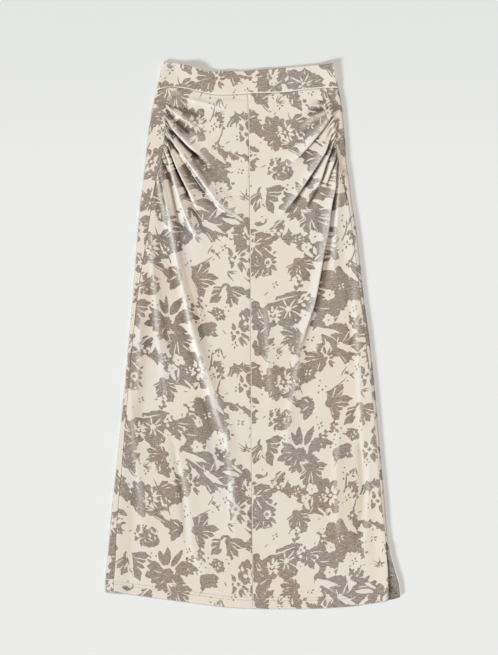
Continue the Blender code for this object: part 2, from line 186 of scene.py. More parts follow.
# Creases in mm: the line of a sharp trough between two folds, its depth, its half width, the share of the
# way where it starts to end, and how dark the painted shade inside it is, from 0 to 1
Crease = namedtuple("Crease", "line depth width hold dark")
CREASES = [
    Crease([(-130, 419), (-104, 404), (-76, 391)], 3.2, 10, 0.6, 0.12),
    Crease([(-76, 443), (-44, 438), (-12, 436)], 2.4, 6, 0.6, 0.1),
    Crease([(-161, 428), (-145, 421), (-124, 413)], 2.5, 1.5, 0.6, 0.4),
    Crease([(-162, 419), (-145, 410), (-128, 398)], 2.5, 1.5, 0.6, 0.35),
    Crease([(-162, 413), (-139, 391), (-115, 371)], 3.4, 1.8, 0.8, 0.6),
    Crease([(-160, 406), (-139, 386), (-123, 369)], 3, 1.5, 0.7, 0.5),
    Crease([(-162, 397), (-150, 384), (-138, 366)], 6.8, 2.4, 0.85, 1),
    Crease([(-139, 367), (-124, 349), (-111, 336), (-97, 323)], 6.4, 4.6, 0.7, 0.9),
    Crease([(-163, 387), (-152, 374), (-143, 358)], 4.6, 2, 0.7, 0.6),
    Crease([(-156, 363), (-145, 349), (-133, 333)], 6.1, 3.6, 0.75, 1),
    Crease([(-163, 367), (-154, 352), (-147, 337)], 4, 1.8, 0.7, 0.6),
    Crease([(-121, 302), (-106, 284), (-91, 262), (-71, 238)], 3.9, 10, 0.7, 0.25),
    Crease([(-160, 350), (-150, 334), (-143, 315), (-136, 295), (-127, 275), (-117, 250)],
         7.8, 3.1, 0.88, 1),
    Crease([(-167, 343), (-160, 326), (-154, 310)], 4, 1.8, 0.7, 0.55),
    Crease([(-169, 326), (-161, 308), (-154, 284), (-147, 250), (-139, 210), (-130, 173)],
         5.1, 3.2, 0.7, 0.7),
    Crease([(-113, 245), (-100, 213), (-84, 176)], 3.4, 7, 0.5, 0.2),
    Crease([(-173, 295), (-167, 260), (-161, 221)], 3, 3.4, 0.6, 0.4),
    Crease([(-134, 206), (-127, 147), (-106, 84), (-93, 35), (-74, -43)], 3.8, 7.5, 0.7, 0.2),
    Crease([(-165, 139), (-153, -21), (-143, -69)], 3.2, 9, 0.6, 0.15),
    Crease([(-154, -194), (-136, -305), (-121, -408)], 3, 10, 0.6, 0.14),
    Crease([(-104, -118), (-86, -194), (-58, -268)], 3.4, 9, 0.6, 0.2),
    Crease([(196, -194), (194, -305), (186, -400)], 3, 8, 0.6, 0.14),
    Crease([(148, 406), (136, 392), (127, 380), (116, 365), (103, 350), (86, 330)], 7.7, 2.5, 0.5, 1),
    Crease([(146, 384), (138, 371), (131, 360)], 3.4, 1.6, 0.6, 0.5),
    Crease([(148, 374), (142, 363), (136, 352)], 3.4, 1.6, 0.6, 0.5),
    Crease([(144, 360), (135, 343), (125, 328), (118, 313), (103, 289), (86, 265), (70, 239)],
         8.5, 3.3, 0.88, 1),
    Crease([(148, 347), (138, 328), (133, 310), (127, 291), (120, 273)], 7.1, 2.6, 0.8, 1),
    Crease([(152, 347), (149, 337), (144, 324)], 3.4, 1.5, 0.6, 0.5),
    Crease([(154, 336), (148, 317), (142, 304), (136, 284), (133, 269)], 6.1, 2.2, 0.6, 0.85),
    Crease([(157, 324), (155, 310), (153, 291), (150, 273)], 5.1, 2, 0.8, 0.7),
    Crease([(151, 278), (146, 256), (142, 232), (138, 206), (132, 164), (121, 102), (111, 53), (98, 10),
          (88, -27)], 8.5, 3.8, 0.6, 1),
    Crease([(120, 273), (109, 252), (96, 228)], 3, 4, 0.5, 0.3),
    Crease([(164, 413), (161, 387), (162, 361)], 2.4, 1.4, 0.7, 0.55),
    Crease([(168, 276), (172, 262), (174, 245)], 2.4, 1.6, 0.6, 0.5),
]

# Broad rises of the gathered cloth in mm: the middle, the reach both ways and the height
Rise = namedtuple("Rise", "x y across along height")
RISES = [Rise(-136, 330, 40, 110, 6.0), Rise(120, 320, 40, 105, 6.0)]

# How folds and creases start, spread, carry painted glints and painted shade and end along their lines, and
# how much print they take up
LINE_STEP = 8 * MM
FOLD_START_SHARE = 0.35
FOLD_SWELL_END = 0.16
FOLD_NARROWEST = 0.7
FOLD_SPREADS = 0.6
FOLD_REACH = 4
FOLD_TAKES_UP = 0.6
FOLD_PRINT_REACH = 3
FOLD_FADE_FROM_WAIST = 14 * MM
CREST_SHARPNESS = 1.35
PAINTED_GLINT_WIDTH = 0.36
PAINTED_GLINT_SHARE = {"left": 1.0, "right": 0.45}
PAINTED_GLINT_FULL_HEIGHT = 7
CREASE_START = 0.08
CREASE_SWELL = 0.2
CREASE_REACH = 8
CREASE_TAKES_UP = 1.0
CREASE_PRINT_REACH = 3
CREASE_PRINT_STEEPNESS = 3
PAINTED_SHADE_WIDTH = 0.85

# The puckers of the gathers along both side seams, uneven in reach and bunched here and there
GATHER_TOP = 440 * MM
GATHER_END = 286 * MM
PUCKERS = 23
PUCKER_START = {"left": 0.4, "right": 0.0}
PUCKER_HEIGHT = 2.6 * MM
PUCKER_ROUNDNESS = 0.7
PUCKER_FADE = 0.08
PUCKER_BUNCHING = 0.9
PUCKER_BUNCHING_TURNS = 9
PUCKER_LEAN_TOP = 0.6
PUCKER_LEAN_ADDS = 1.5
PUCKER_REACH = 22 * MM
PUCKER_REACH_MEAN = 0.75
PUCKER_REACH_CHANGE = 0.45
PUCKER_REACH_TURNS = 31
# Painted shade in the gaps between the puckers
PUCKER_PAINTED_SHADE = 1.6

# The gathers pull the cloth's crosswise threads up towards the side seams by this share of the way
GRAIN_RISE = 0.105
GRAIN_RISE_REACH = 250 * MM

# How finely each piece is drawn
FRONT_COLUMNS = 136
FRONT_ROWS = 624
FRONT_ROWS_EVEN = 0.75
BACK_ROWS = 368
BACK_COLUMNS = 160
STRIP_COLUMNS = 16
ROLL_STEPS = 8
BAND_ROWS = 28
BAND_COLUMNS = 216
BAND_STRIP_COLUMNS = 8
UNDER_STEP = 4

# Where each piece is cut from the printed cloth, in mm from the repeat's corner
FRONT_CUTS = {"left": (-250, 690), "right": (-4, 454)}
BACK_CUT = (50, 400)
BAND_FRONT_CUT = (-197, 519)
BAND_BACK_CUT = (90, 20)

# Stitches: two rows above the hem, and short bars in mm at the slit and on the right strip
HEM_STITCHES = (14.5 * MM, 20 * MM)
HEM_STITCH_ROWS = 40
STITCH_LENGTH = 3.0 * MM
STITCH_GAP = 1.0 * MM
STITCH_RADIUS = 0.4 * MM
STITCH_SIDES = 6
STITCH_SHOULDER = 0.55
BAR_RADIUS = 1.1 * MM
Bar = namedtuple("Bar", "start end y level rise")
BARS = [Bar(251, 263, -442.7, 3.3, 3.2), Bar(160.5, 167, 363, 6.3, 0.0)]

# Seams show as a line of painted shade, weaker low down the sides, beside a pale turned edge with a painted
# glint; painted shade also lies under the band
SEAM_LINE = 2.0 * MM
SEAM_PAINTED_SHADE = 0.45
LOW_SEAM_SHARE = 0.4
SEAM_FADES_AT = -50 * MM
SEAM_FADE = 300 * MM
UNDER_BAND = 3.5 * MM
UNDER_BAND_PAINTED_SHADE = 0.3
PALE_EDGE = 1.5 * MM
BAND_PALE_EDGE = 2.6 * MM
EDGE_GLINT = 2.2
CUT_EDGE_COLUMNS = 2
CUT_EDGE_PRINT = -3.0

# The shade on the rolled sides, from each edge inwards
Shade = namedtuple("Shade", "dark reach")
LEFT_ROLL_SHADE = Shade(0.16, 2.6 * MM)
RIGHT_ROLL_SHADE = Shade(0.42, 5.5 * MM)

# Painted sheen on crests and painted shade in hollows follow how far the cloth stands above the cloth round
# it, over this many cells
PAINTED_SHEEN_REACH = 7
PAINTED_SHEEN_HEIGHT = 1.1 * MM


def ease(t):
    t = np.clip(t, 0.0, 1.0)
    return t * t * (3 - 2 * t)


def curve_through(points, places):
    """A smooth curve through (place, value) points in mm, read at places in metres."""
    xs = np.array([point[0] for point in points]) * MM
    ys = np.array([point[1] for point in points]) * MM
    if xs[0] > xs[-1]:
        xs = xs[::-1]
        ys = ys[::-1]
    slopes = np.gradient(ys, xs)
    at = np.clip(places, xs[0], xs[-1])
    i = np.clip(np.searchsorted(xs, at) - 1, 0, len(xs) - 2)
    span = xs[i + 1] - xs[i]
    t = (at - xs[i]) / span
    rise = t * t * (3 - 2 * t)
    start_pull = t * (1 - t) ** 2
    end_pull = t * t * (t - 1)
    return ys[i] + (ys[i + 1] - ys[i]) * rise + span * (slopes[i] * start_pull + slopes[i + 1] * end_pull)


def width_at(column, levels):
    return curve_through([(row.y, getattr(row, column)) for row in SECTIONS], levels)


def bent_to_edges(x, level):
    waist_share = ease(1 - (WAIST_LEVEL - level) / WAIST_CURVE_REACH)
    hem_share = ease(1 - (level - HEM_LEVEL) / HEM_CURVE_REACH)
    waist_shift = curve_through(WAIST_SEAM, x) - SEAM_GAP / 2 - WAIST_LEVEL
    hem_shift = curve_through(HEM, x) - HEM_LEVEL
    return level + waist_shift * waist_share + hem_shift * hem_share


# The print in mm: a chart of flowers and leaves over one repeat of the cloth. Each motif is drawn from its
# own formula, turned by so many degrees, in taupe (tone 1) or in cream (tone -1) over those before it.
REPEAT = (322, 466)
Motif = namedtuple("Motif", "kind x y size turn tone")
CHART = [Motif(*row) for row in (
    # fans of petals and leaf masses that the pale blooms lie on
    ("fan", 160, 34, 54, 330, 1), ("leaves", 222, 8, 46, 200, 1), ("fan", 128, 44, 36, 160, 1),
    ("fan", 14, 20, 42, 320, 1), ("leaves", 300, 8, 42, 250, 1), ("leaves", 74, 14, 28, 100, 1),
    ("fan", 146, 128, 42, 350, 1), ("leaves", 112, 128, 34, 170, 1), ("fan", 200, 140, 46, 80, 1),
    ("leaves", 232, 190, 42, 20, 1), ("fan", 258, 118, 50, 300, 1), ("leaves", 8, 116, 38, 150, 1),
    ("fan", 20, 190, 46, 60, 1), ("leaves", 286, 226, 46, 160, 1), ("leaves", 68, 160, 32, 220, 1),
    ("fan", 214, 280, 54, 20, 1), ("leaves", 180, 214, 30, 120, 1), ("fan", 262, 282, 46, 70, 1),
    ("leaves", 60, 262, 36, 120, 1), ("fan", 84, 326, 40, 60, 1), ("fan", 20, 330, 36, 190, 1),
    ("leaves", 250, 376, 60, 225, 1), ("fan", 206, 384, 50, 50, 1), ("fan", 284, 392, 46, 330, 1),
    ("fan", 126, 450, 54, 10, 1), ("leaves", 150, 420, 42, 200, 1), ("fan", 8, 400, 42, 120, 1),
    ("leaves", 196, 456, 42, 300, 1), ("fan", 84, 462, 38, 170, 1), ("leaves", 262, 452, 42, 30, 1),
    ("leaves", 304, 306, 40, 100, 1), ("fan", 180, 60, 40, 30, 1), ("fan", 60, 108, 34, 300, 1),
    ("mum", 165, 382, 44, 20, 1), ("mum", 128, 300, 41, 0, 1), ("mum", 240, 40, 32, 50, 1),
    ("fan", 108, 244, 36, 60, 1), ("leaves", 120, 196, 30, 60, 1), ("fan", 76, 60, 30, 20, 1),
    ("leaves", 186, 340, 40, 40, 1), ("fan", 100, 400, 36, 60, 1), ("leaves", 310, 134, 34, 60, 1),
    ("fan", 240, 240, 50, 40, 1), ("leaves", 6, 56, 36, 120, 1), ("leaves", 30, 440, 36, 160, 1),
    # large pale blooms
    ("mum", 215, 246, 40, 0, -1), ("mum", 222, 326, 32, 30, -1), ("mum", 44, 364, 34, 10, -1),
    ("mum", 238, 434, 34, 50, -1), ("mum", 190, 424, 18, 10, -1), ("mum", 42, 132, 32, 25, -1),
    ("mum", 196, 66, 22, 0, -1), ("mum", 52, 30, 24, 0, -1), ("mum", 296, 104, 25, 35, -1),
    ("mum", 110, 6, 23, 60, -1), ("mum", 128, 168, 23, 10, -1), ("mum", 302, 436, 23, 15, -1),
    # dark blooms
    ("mum", 49, 80, 33, 0, 1), ("bud", 96, 84, 34, 300, 1), ("mum", 106, 68, 19, 40, 1),
    ("cosmos", 66, 413, 48, 10, 1), ("cosmos", 4, 288, 46, 30, 1), ("cosmos", 288, 172, 42, 60, 1),
    ("aster", 92, 214, 50, 300, 1), ("bud", 60, 246, 26, 120, 1), ("mum", 284, 350, 36, 0, 1),
    ("cosmos", 302, 54, 40, 40, 1),
    ("bud", 150, 214, 26, 30, 1), ("bud", 30, 248, 24, 200, 1), ("mum", 250, 148, 15, 0, 1),
    ("mum", 186, 190, 13, 0, 1), ("bud", 66, 60, 18, 60, 1), ("mum", 84, 284, 12, 20, 1),
    # small pale blooms and leaves over them
    ("bloom", 100, 300, 9, 30, -1), ("bloom", 146, 394, 10, 0, -1),
    ("bloom", 176, 92, 13, 0, -1), ("bloom", 228, 92, 12, 50, -1),
    ("bloom", 92, 424, 10, 0, -1), ("bloom", 266, 262, 10, 0, -1), ("bloom", 20, 238, 12, 40, -1),
    ("bloom", 250, 170, 11, 10, -1), ("bloom", 200, 176, 9, 10, -1), ("bloom", 284, 300, 11, 0, -1),
    ("bloom", 144, 440, 11, 0, -1), ("bloom", 18, 100, 9, 0, -1),
    ("slit", 170, 346, 40, 45, -1), ("slit", 252, 362, 42, 220, -1), ("slit", 216, 396, 34, 60, -1),
    ("slit", 296, 300, 34, 120, -1), ("slit", 118, 456, 44, 12, -1), ("slit", 196, 140, 38, 90, -1),
    ("slit", 158, 22, 40, 25, -1), ("slit", 270, 104, 38, 320, -1), ("slit", 20, 176, 36, 80, -1),
    ("slit", 208, 458, 32, 290, -1), ("slit", 226, 20, 36, 190, -1), ("slit", 270, 400, 36, 340, -1),
    ("slit", 132, 340, 30, 200, -1), ("slit", 108, 322, 26, 240, -1), ("slit", 70, 250, 28, 110, -1),
    ("slit", 276, 236, 32, 150, -1), ("slit", 10, 124, 28, 160, -1), ("slit", 306, 200, 26, 80, -1),
    # daisies with narrow petals, and whisks of fine lines
    ("daisy", 218, 84, 27, 10, 1), ("daisy", 138, 44, 21, 0, 1), ("daisy", 30, 322, 25, 40, 1),
    ("daisy", 236, 318, 24, 20, 1), ("daisy", 180, 300, 21, 50, 1), ("daisy", 262, 412, 26, 0, 1),
    ("daisy", 42, 148, 22, 30, 1), ("daisy", 222, 222, 25, 15, 1), ("daisy", 300, 440, 20, 5, 1),
    ("daisy", 144, 298, 20, 25, -1), ("daisy", 284, 344, 20, 0, -1), ("daisy", 240, 40, 18, 35, -1),
    ("daisy", 250, 200, 18, 5, -1), ("daisy", 40, 420, 17, 5, -1), ("daisy", 124, 372, 22, 0, -1),
    ("bloom", 112, 284, 11, 0, -1), ("daisy", 60, 80, 20, 10, -1),
    ("mum", 300, 274, 24, 15, -1), ("mum", 226, 388, 24, 40, -1), ("mum", 178, 306, 18, 0, -1),
    ("whisk", 190, 250, 26, 100, 1), ("whisk", 200, 110, 24, 30, 1), ("whisk", 120, 60, 22, 200, 1),
    ("whisk", 20, 350, 24, 300, 1), ("whisk", 260, 300, 26, 150, 1), ("whisk", 240, 440, 24, 220, 1),
    ("whisk", 60, 130, 22, 60, 1), ("whisk", 180, 280, 20, 20, 1), ("whisk", 46, 24, 20, 330, 1),
    ("whisk", 120, 350, 28, 30, -1), ("whisk", 150, 320, 26, 130, -1), ("whisk", 270, 360, 28, 60, -1),
    ("whisk", 70, 100, 26, 210, -1), ("whisk", 244, 60, 26, 280, -1), ("whisk", 210, 400, 26, 20, -1),
    ("whisk", 20, 200, 26, 100, -1), ("whisk", 134, 124, 24, 180, -1), ("whisk", 300, 20, 24, 200, -1),
    ("whisk", 90, 230, 24, 40, -1), ("whisk", 256, 130, 24, 340, -1), ("whisk", 100, 456, 24, 80, -1),
    # sprays, stems and marks
    ("sprig", 150, 250, 44, 300, 1), ("sprig", 152, 346, 40, 110, 1), ("sprig", 96, 108, 38, 250, 1),
    ("sprig", 60, 2, 40, 20, 1), ("sprig", 118, 196, 36, 320, 1), ("sprig", 20, 266, 34, 0, -1),
    ("sprig", 232, 116, 40, 30, 1), ("sprig", 76, 388, 36, 290, 1), ("sprig", 180, 276, 32, 60, 1),
    ("sprig", 176, 316, 34, 75, -1), ("sprig", 262, 214, 40, 200, -1), ("sprig", 300, 378, 36, 60, -1),
    ("sprig", 148, 146, 34, 70, 1), ("sprig", 36, 156, 34, 330, 1), ("sprig", 260, 420, 34, 80, 1),
    ("sprig", 206, 52, 30, 340, 1), ("sprig", 100, 370, 34, 100, -1), ("sprig", 120, 20, 30, 60, 1),
    ("stem", 66, 40, 62, 60, 1), ("stem", 58, 52, 50, 75, 1), ("stem", 176, 350, 60, 290, 1),
    ("stem", 20, 292, 70, 30, -1), ("stem", 320, 268, 60, 340, -1), ("stem", 74, 236, 50, 140, -1),
    ("stem", 170, 300, 44, 280, 1), ("stem", 196, 366, 56, 20, -1), ("stem", 136, 108, 50, 330, 1),
    ("stem", 226, 212, 46, 290, 1), ("stem", 28, 396, 60, 350, -1), ("stem", 244, 60, 50, 130, -1),
    ("marks", 150, 205, 16, 0, 1), ("marks", 176, 262, 14, 60, 1), ("marks", 82, 346, 14, 30, 1),
    ("marks", 58, 186, 13, 30, 1), ("marks", 130, 98, 14, 70, 1), ("marks", 160, 180, 14, 70, 1),
    ("marks", 250, 236, 12, 10, 1), ("marks", 262, 250, 12, 50, 1), ("marks", 184, 448, 13, 50, -1),
    ("marks", 288, 130, 14, 50, 1), ("marks", 12, 62, 14, 50, 1), ("marks", 70, 6, 12, 50, 1),
    ("marks", 40, 300, 14, 0, -1), ("marks", 270, 20, 14, 0, -1),
)]


def lifted(k, seed):
    """A steady unevenness from -1 to 1 for the petal or leaf numbered k."""
    return math.sin(k * 2.399 + seed)


def around(place, period):
    return (place + period / 2) % period - period / 2


def rim(dx, dy, radius, petals, depth, seed):
    """How far inside a round flower head each point lies, its petals uneven and their gaps sharp."""
    angle = np.arctan2(dy, dx) + seed
    turns = petals * angle / (2 * math.pi)
    number = np.floor(turns)
    across = turns - number
    length = 1 + 0.09 * np.sin(2.4 * number + seed) + 0.06 * np.sin(2 * angle + 3 * seed)
    lobe = np.abs(np.sin(math.pi * across)) ** 0.5
    tip = 0.03 * np.abs(np.sin(2 * math.pi * across))
    return radius * length * (1 - depth + depth * lobe - tip) - np.hypot(dx, dy)


def blade(dx, dy, start, end, half_width, turn, teeth=0.0):
    """How far inside one petal or leaf each point lies: it runs out from start to end in the way of turn."""
    along = dx * math.cos(turn) + dy * math.sin(turn)
    across = dy * math.cos(turn) - dx * math.sin(turn)
    t = np.clip((along - start) / (end - start), 0.0, 1.0)
    width = half_width * (np.sin(math.pi * t**0.8)) ** 0.7
    width = width * (1 - teeth * np.abs(np.sin(t * (end - start) / 3.4)))
    beyond = np.maximum(start - along, along - end)
    return np.minimum(width - np.abs(across), -beyond)


def petal(dx, dy, start, end, half_width, turn):
    """A petal that widens to a blunt, toothed tip."""
    along = dx * math.cos(turn) + dy * math.sin(turn)
    across = dy * math.cos(turn) - dx * math.sin(turn)
    t = np.clip((along - start) / (end - start), 0.0, 1.0)
    width = half_width * (0.22 + 0.78 * np.sin(0.62 * math.pi * t))
    teeth = 0.1 * np.abs(np.sin(across * 3.6 / half_width))
    tip = end * (1 - teeth - 0.32 * (across / half_width) ** 2) - along
    return np.minimum(np.minimum(width - np.abs(across), tip), along - start)


def mum(dx, dy, size, turn):
    figure = rim(dx, dy, size, 12 + int(size) % 4, 0.24, turn)
    marks = []
    for k in range(4):
        at = turn + k * 1.7
        px = dx - 1.5 * math.cos(at)
        py = dy - 1.5 * math.sin(at)
        marks.append(blade(px, py, 0.4, 5.5 + 1.5 * lifted(k, turn), 1.5, at))
    for k in range(3):
        at = turn + 2.2 + 1.9 * k
        marks.append(blade(dx, dy, (0.5 + 0.1 * k) * size, (0.85 + 0.05 * k) * size, 1.0, at))
    return figure, marks


def cosmos(dx, dy, size, turn):
    figure = np.full(dx.shape, -99.0)
    cuts = []
    for k in range(8):
        at = turn + 2 * math.pi * k / 8 + 0.12 * lifted(k, turn)
        length = size * (0.86 + 0.2 * lifted(2 * k, turn))
        figure = np.maximum(figure, petal(dx, dy, 0.1 * size, length, 0.31 * size, at))
        cuts.append(blade(dx, dy, 0.1 * size, length * (0.6 + 0.25 * lifted(k, 1)), 1.35, at + 0.34))
        if k % 2:
            cuts.append(blade(dx, dy, 0.45 * size, length * 0.85, 1.1, at))
    return figure, cuts


def daisy(dx, dy, size, turn):
    figure = rim(dx, dy, 0.17 * size, 6, 0.45, turn)
    for k in range(11):
        at = turn + 2 * math.pi * k / 11 + 0.16 * lifted(k, turn)
        length = size * (0.8 + 0.28 * lifted(3 * k, turn))
        petal_width = size * (0.1 + 0.03 * lifted(k, 2)) + 0.4
        figure = np.maximum(figure, blade(dx, dy, (0.26 + 0.05 * (k % 3)) * size, length, petal_width, at))
    return figure, []


def aster(dx, dy, size, turn):
    """A bloom seen a little from the side: one half parted into long petals, the other grown together."""
    beyond = dx * math.cos(turn) + dy * math.sin(turn)
    grown = np.minimum(rim(dx, dy, 0.82 * size, 15, 0.24, turn), 0.05 * size - beyond)
    figure = np.maximum(grown, rim(dx, dy, 0.22 * size, 7, 0.35, turn))
    for k in range(7):
        at = turn + (k - 3) * 0.5 + 0.1 * lifted(k, turn)
        length = size * (0.88 + 0.16 * lifted(3 * k, turn))
        figure = np.maximum(figure, blade(dx, dy, 0.3 * size, length, 0.12 * size, at))
    cuts = []
    for k in range(5):
        at = turn + math.pi + (k - 2) * 0.55
        cuts.append(blade(dx, dy, (0.24 + 0.05 * (k % 2)) * size, 0.6 * size, 0.9, at))
    return figure, cuts


def leaves(dx, dy, size, turn):
    figure = np.full(dx.shape, -99.0)
    cuts = []
    for k in range(4):
        at = turn + (k - 1.5) * 0.62 + 0.1 * lifted(k, turn)
        length = size * (0.85 + 0.2 * lifted(k, turn))
        figure = np.maximum(figure, blade(dx, dy, -0.2 * size, length, 0.3 * size, at, 0.24))
        if k % 2:
            cuts.append(blade(dx, dy, 0.1 * size, 0.8 * length, 1.1, at + 0.05))
    return figure, cuts


def fan(dx, dy, size, turn):
    figure = 0.2 * size - np.hypot(dx, dy)
    cuts = []
    for k in range(7):
        at = turn + (k - 3) * 0.42 + 0.08 * lifted(k, turn)
        length = size * (0.88 + 0.2 * lifted(k, turn) - 0.02 * (k - 3) ** 2)
        figure = np.maximum(figure, petal(dx, dy, 0, length, 0.2 * size, at))
        cuts.append(blade(dx, dy, (0.16 + 0.12 * (k % 3)) * size, 0.95 * size, 1.0, at + 0.21))
    return figure, cuts


def whisk(dx, dy, size, turn):
    """Fine straight lines that spread from one point."""
    figure = np.full(dx.shape, -99.0)
    for k in range(5):
        at = turn + (k - 2) * 0.3 + 0.1 * lifted(k, turn)
        start = size * (0.08 + 0.08 * (k % 2))
        figure = np.maximum(figure, blade(dx, dy, start, size * (0.8 + 0.2 * lifted(k, turn)), 1.0, at))
    return figure, []


def bud(dx, dy, size, turn):
    figure = np.full(dx.shape, -99.0)
    for k in range(3):
        at = turn + (k - 1) * 0.42
        figure = np.maximum(figure, petal(dx, dy, 0.05 * size, size * (1 - 0.1 * k), 0.3 * size, at))
    return figure, []


def bloom(dx, dy, size, turn):
    figure = rim(dx, dy, size, 5, 0.4, turn)
    return figure, [1.6 - np.hypot(dx, dy)]


def slit(dx, dy, size, turn):
    figure = blade(dx, dy, 0, size, 0.13 * size, turn)
    return np.maximum(figure, blade(dx - 4, dy + 5, 0, 0.7 * size, 0.08 * size, turn + 0.5)), []


def sprig(dx, dy, size, turn):
    bend = 0.004 * (dx * math.cos(turn) + dy * math.sin(turn)) ** 2
    bx = dx + bend * math.sin(turn)
    by = dy - bend * math.cos(turn)
    figure = blade(bx, by, 0, size, 1.25, turn)
    for k in range(5):
        way = 1 if k % 2 else -1
        at = size * (0.3 + 0.17 * k)
        px = bx - at * math.cos(turn)
        py = by - at * math.sin(turn)
        figure = np.maximum(figure, blade(px, py, 1, 0.26 * size, 0.062 * size + 0.6, turn + way * 0.8))
    return figure, []


def stem(dx, dy, size, turn):
    along = dx * math.cos(turn) + dy * math.sin(turn)
    bend = 0.05 * size * np.sin(math.pi * along / size)
    return blade(dx + bend * math.sin(turn), dy - bend * math.cos(turn), 0, size, 1.3, turn), []


def marks(dx, dy, size, turn):
    figure = np.full(dx.shape, -99.0)
    for k in range(6):
        at = turn + k * 2.4
        out = size * (0.25 + 0.15 * k)
        px = dx - out * math.cos(at)
        py = dy - out * math.sin(at)
        figure = np.maximum(figure, blade(px, py, -2.2, 2.4 + lifted(k, turn), 1.7, at * 1.7))
    return figure, []


SHAPES = {
    shape.__name__: shape
    for shape in (mum, cosmos, daisy, aster, leaves, fan, whisk, bud, bloom, slit, sprig, stem, marks)
}


def print_field(px, py):
    """How far inside the taupe figures each point of the cloth lies, in mm; below 0 it is cream."""
    wavy_x = px + 1.1 * np.sin(0.13 * py + 0.8 * np.sin(0.11 * px)) + 0.3 * np.sin(0.55 * py)
    wavy_y = py + 1.1 * np.sin(0.12 * px + 0.9 * np.sin(0.1 * py)) + 0.3 * np.sin(0.5 * px)
    field = np.full(px.shape, -4.0)
    for motif in CHART:
        dx = around(wavy_x - motif.x, REPEAT[0])
        dy = around(wavy_y - motif.y, REPEAT[1])
        near = np.maximum(np.abs(dx), np.abs(dy)) < 1.4 * motif.size + 6
        figure, cuts = SHAPES[motif.kind](dx[near], dy[near], motif.size, math.radians(motif.turn))
        painted = np.maximum(field[near] * motif.tone, figure)
        for cut in cuts:
            painted = np.minimum(painted, -cut)
        field[near] = painted * motif.tone
    return field


def pale_edge(field, from_edge):
    """The print stops just short of a turned edge."""
    return np.minimum(field, (from_edge - PALE_EDGE) / MM)


def laid_print(x, y, cut):
    """The print's field at places on the skirt, for a piece cut from the cloth at its own place (mm)."""
    return print_field(x / MM - cut[0], cut[1] - y / MM)


def smooth_line(points):
    """Points in metres every few mm along a smooth line through the given points in mm."""
    knots = np.array(points) * MM
    chord = np.concatenate([[0], np.cumsum(np.hypot(*np.diff(knots, axis=0).T))])
    steps = max(10, int(chord[-1] / LINE_STEP))
    at = np.linspace(0, chord[-1], steps + 1)
    line = []
    for axis in (0, 1):
        slope = np.gradient(knots[:, axis], chord)
        i = np.clip(np.searchsorted(chord, at) - 1, 0, len(chord) - 2)
        span = chord[i + 1] - chord[i]
        t = (at - chord[i]) / span
        rise = t * t * (3 - 2 * t)
        pulls = slope[i] * t * (1 - t) ** 2 + slope[i + 1] * t * t * (t - 1)
        line.append(knots[i, axis] + (knots[i + 1, axis] - knots[i, axis]) * rise + span * pulls)
    return np.column_stack(line)


def beside_line(points, reach, x, y):
    """Which points lie near a line, how far right of it and along it (0 to 1), and which way right is."""
    line = smooth_line(points)
    low = line.min(0) - reach
    high = line.max(0) + reach
    near = (x > low[0]) & (x < high[0]) & (y > low[1]) & (y < high[1])
    px = x[near]
    py = y[near]
    nearest = np.full(px.shape, np.inf)
    side = np.zeros(px.shape)
    along = np.zeros(px.shape)
    right_x = np.zeros(px.shape)
    right_y = np.zeros(px.shape)
    steps = len(line) - 1
    for i in range(steps):
        run = line[i + 1] - line[i]
        length = math.hypot(run[0], run[1])
        dx = px - line[i][0]
        dy = py - line[i][1]
        share = np.clip((dx * run[0] + dy * run[1]) / length**2, 0, 1)
        distance = np.hypot(dx - share * run[0], dy - share * run[1])
        closer = distance < nearest
        nearest = np.where(closer, distance, nearest)
        side = np.where(closer, np.sign(run[0] * dy - run[1] * dx), side)
        along = np.where(closer, (i + share) / steps, along)
        right_x = np.where(closer, -run[1] / length, right_x)
        right_y = np.where(closer, run[0] / length, right_y)
    return near, side * nearest, along, right_x, right_y


# What folds and creases do: the cloth's height and shift, its print's shift, painted shade in the creases
# and painted glints along the crests
Effects = namedtuple("Effects", "height over_x over_y print_x print_y tuck crest")


def fold_effects(x, y):
    out = Effects(*np.zeros((7, *x.shape)))
    for fold in FOLDS:
        widest = max(fold.left, fold.right) * MM
        near, right, along, right_x, right_y = beside_line(fold.line, FOLD_REACH * widest, x, y)
        spread = FOLD_NARROWEST + FOLD_SPREADS * along
        across = right / (np.where(right < 0, fold.left, fold.right) * MM * spread)
        swell = FOLD_START_SHARE + (1 - FOLD_START_SHARE) * ease(along / FOLD_SWELL_END)
        fade = swell * (1 - ease((along - fold.hold) / (1 - fold.hold)))
        height = fold.height * MM * fade
        over = fold.over * MM * fade * np.exp(-(across**2))
        taken = FOLD_TAKES_UP * height * np.tanh(across) * np.exp(-((across / FOLD_PRINT_REACH) ** 2))
        # Painted glint along the crest, fuller on higher folds
        crest = min(fold.height / PAINTED_GLINT_FULL_HEIGHT, 1) ** 2 * fade * np.exp(-((across / PAINTED_GLINT_WIDTH) ** 2))
        out.height[near] += height * np.exp(-(np.abs(across) ** CREST_SHARPNESS))
        out.over_x[near] += over * right_x
        out.over_y[near] += over * right_y
        out.print_x[near] += taken * right_x
        out.print_y[near] += taken * right_y
        out.crest[near] = np.maximum(out.crest[near], crest)
    for crease in CREASES:
        width = crease.width * MM
        near, right, along, right_x, right_y = beside_line(crease.line, CREASE_REACH * width, x, y)
        across = right / width
        ending = ease((along - crease.hold) / (1 - crease.hold))
        fade = ease((along + CREASE_START) / CREASE_SWELL) * (1 - ending)
        depth = crease.depth * MM * fade
        taken = CREASE_TAKES_UP * depth * np.tanh(CREASE_PRINT_STEEPNESS * across)
        taken = taken * np.exp(-((across / CREASE_PRINT_REACH) ** 2))
        # Painted shade inside the crease
        tuck = crease.dark * fade * np.exp(-((across / PAINTED_SHADE_WIDTH) ** 2))
        out.height[near] -= depth * np.exp(-np.abs(across))
        out.print_x[near] += taken * right_x
        out.print_y[near] += taken * right_y
        out.tuck[near] = np.maximum(out.tuck[near], tuck)
    for rise in RISES:
        away = ((x / MM - rise.x) / rise.across) ** 2 + ((y / MM - rise.y) / rise.along) ** 2
        out.height[:] += rise.height * MM * np.exp(-away)
    return out


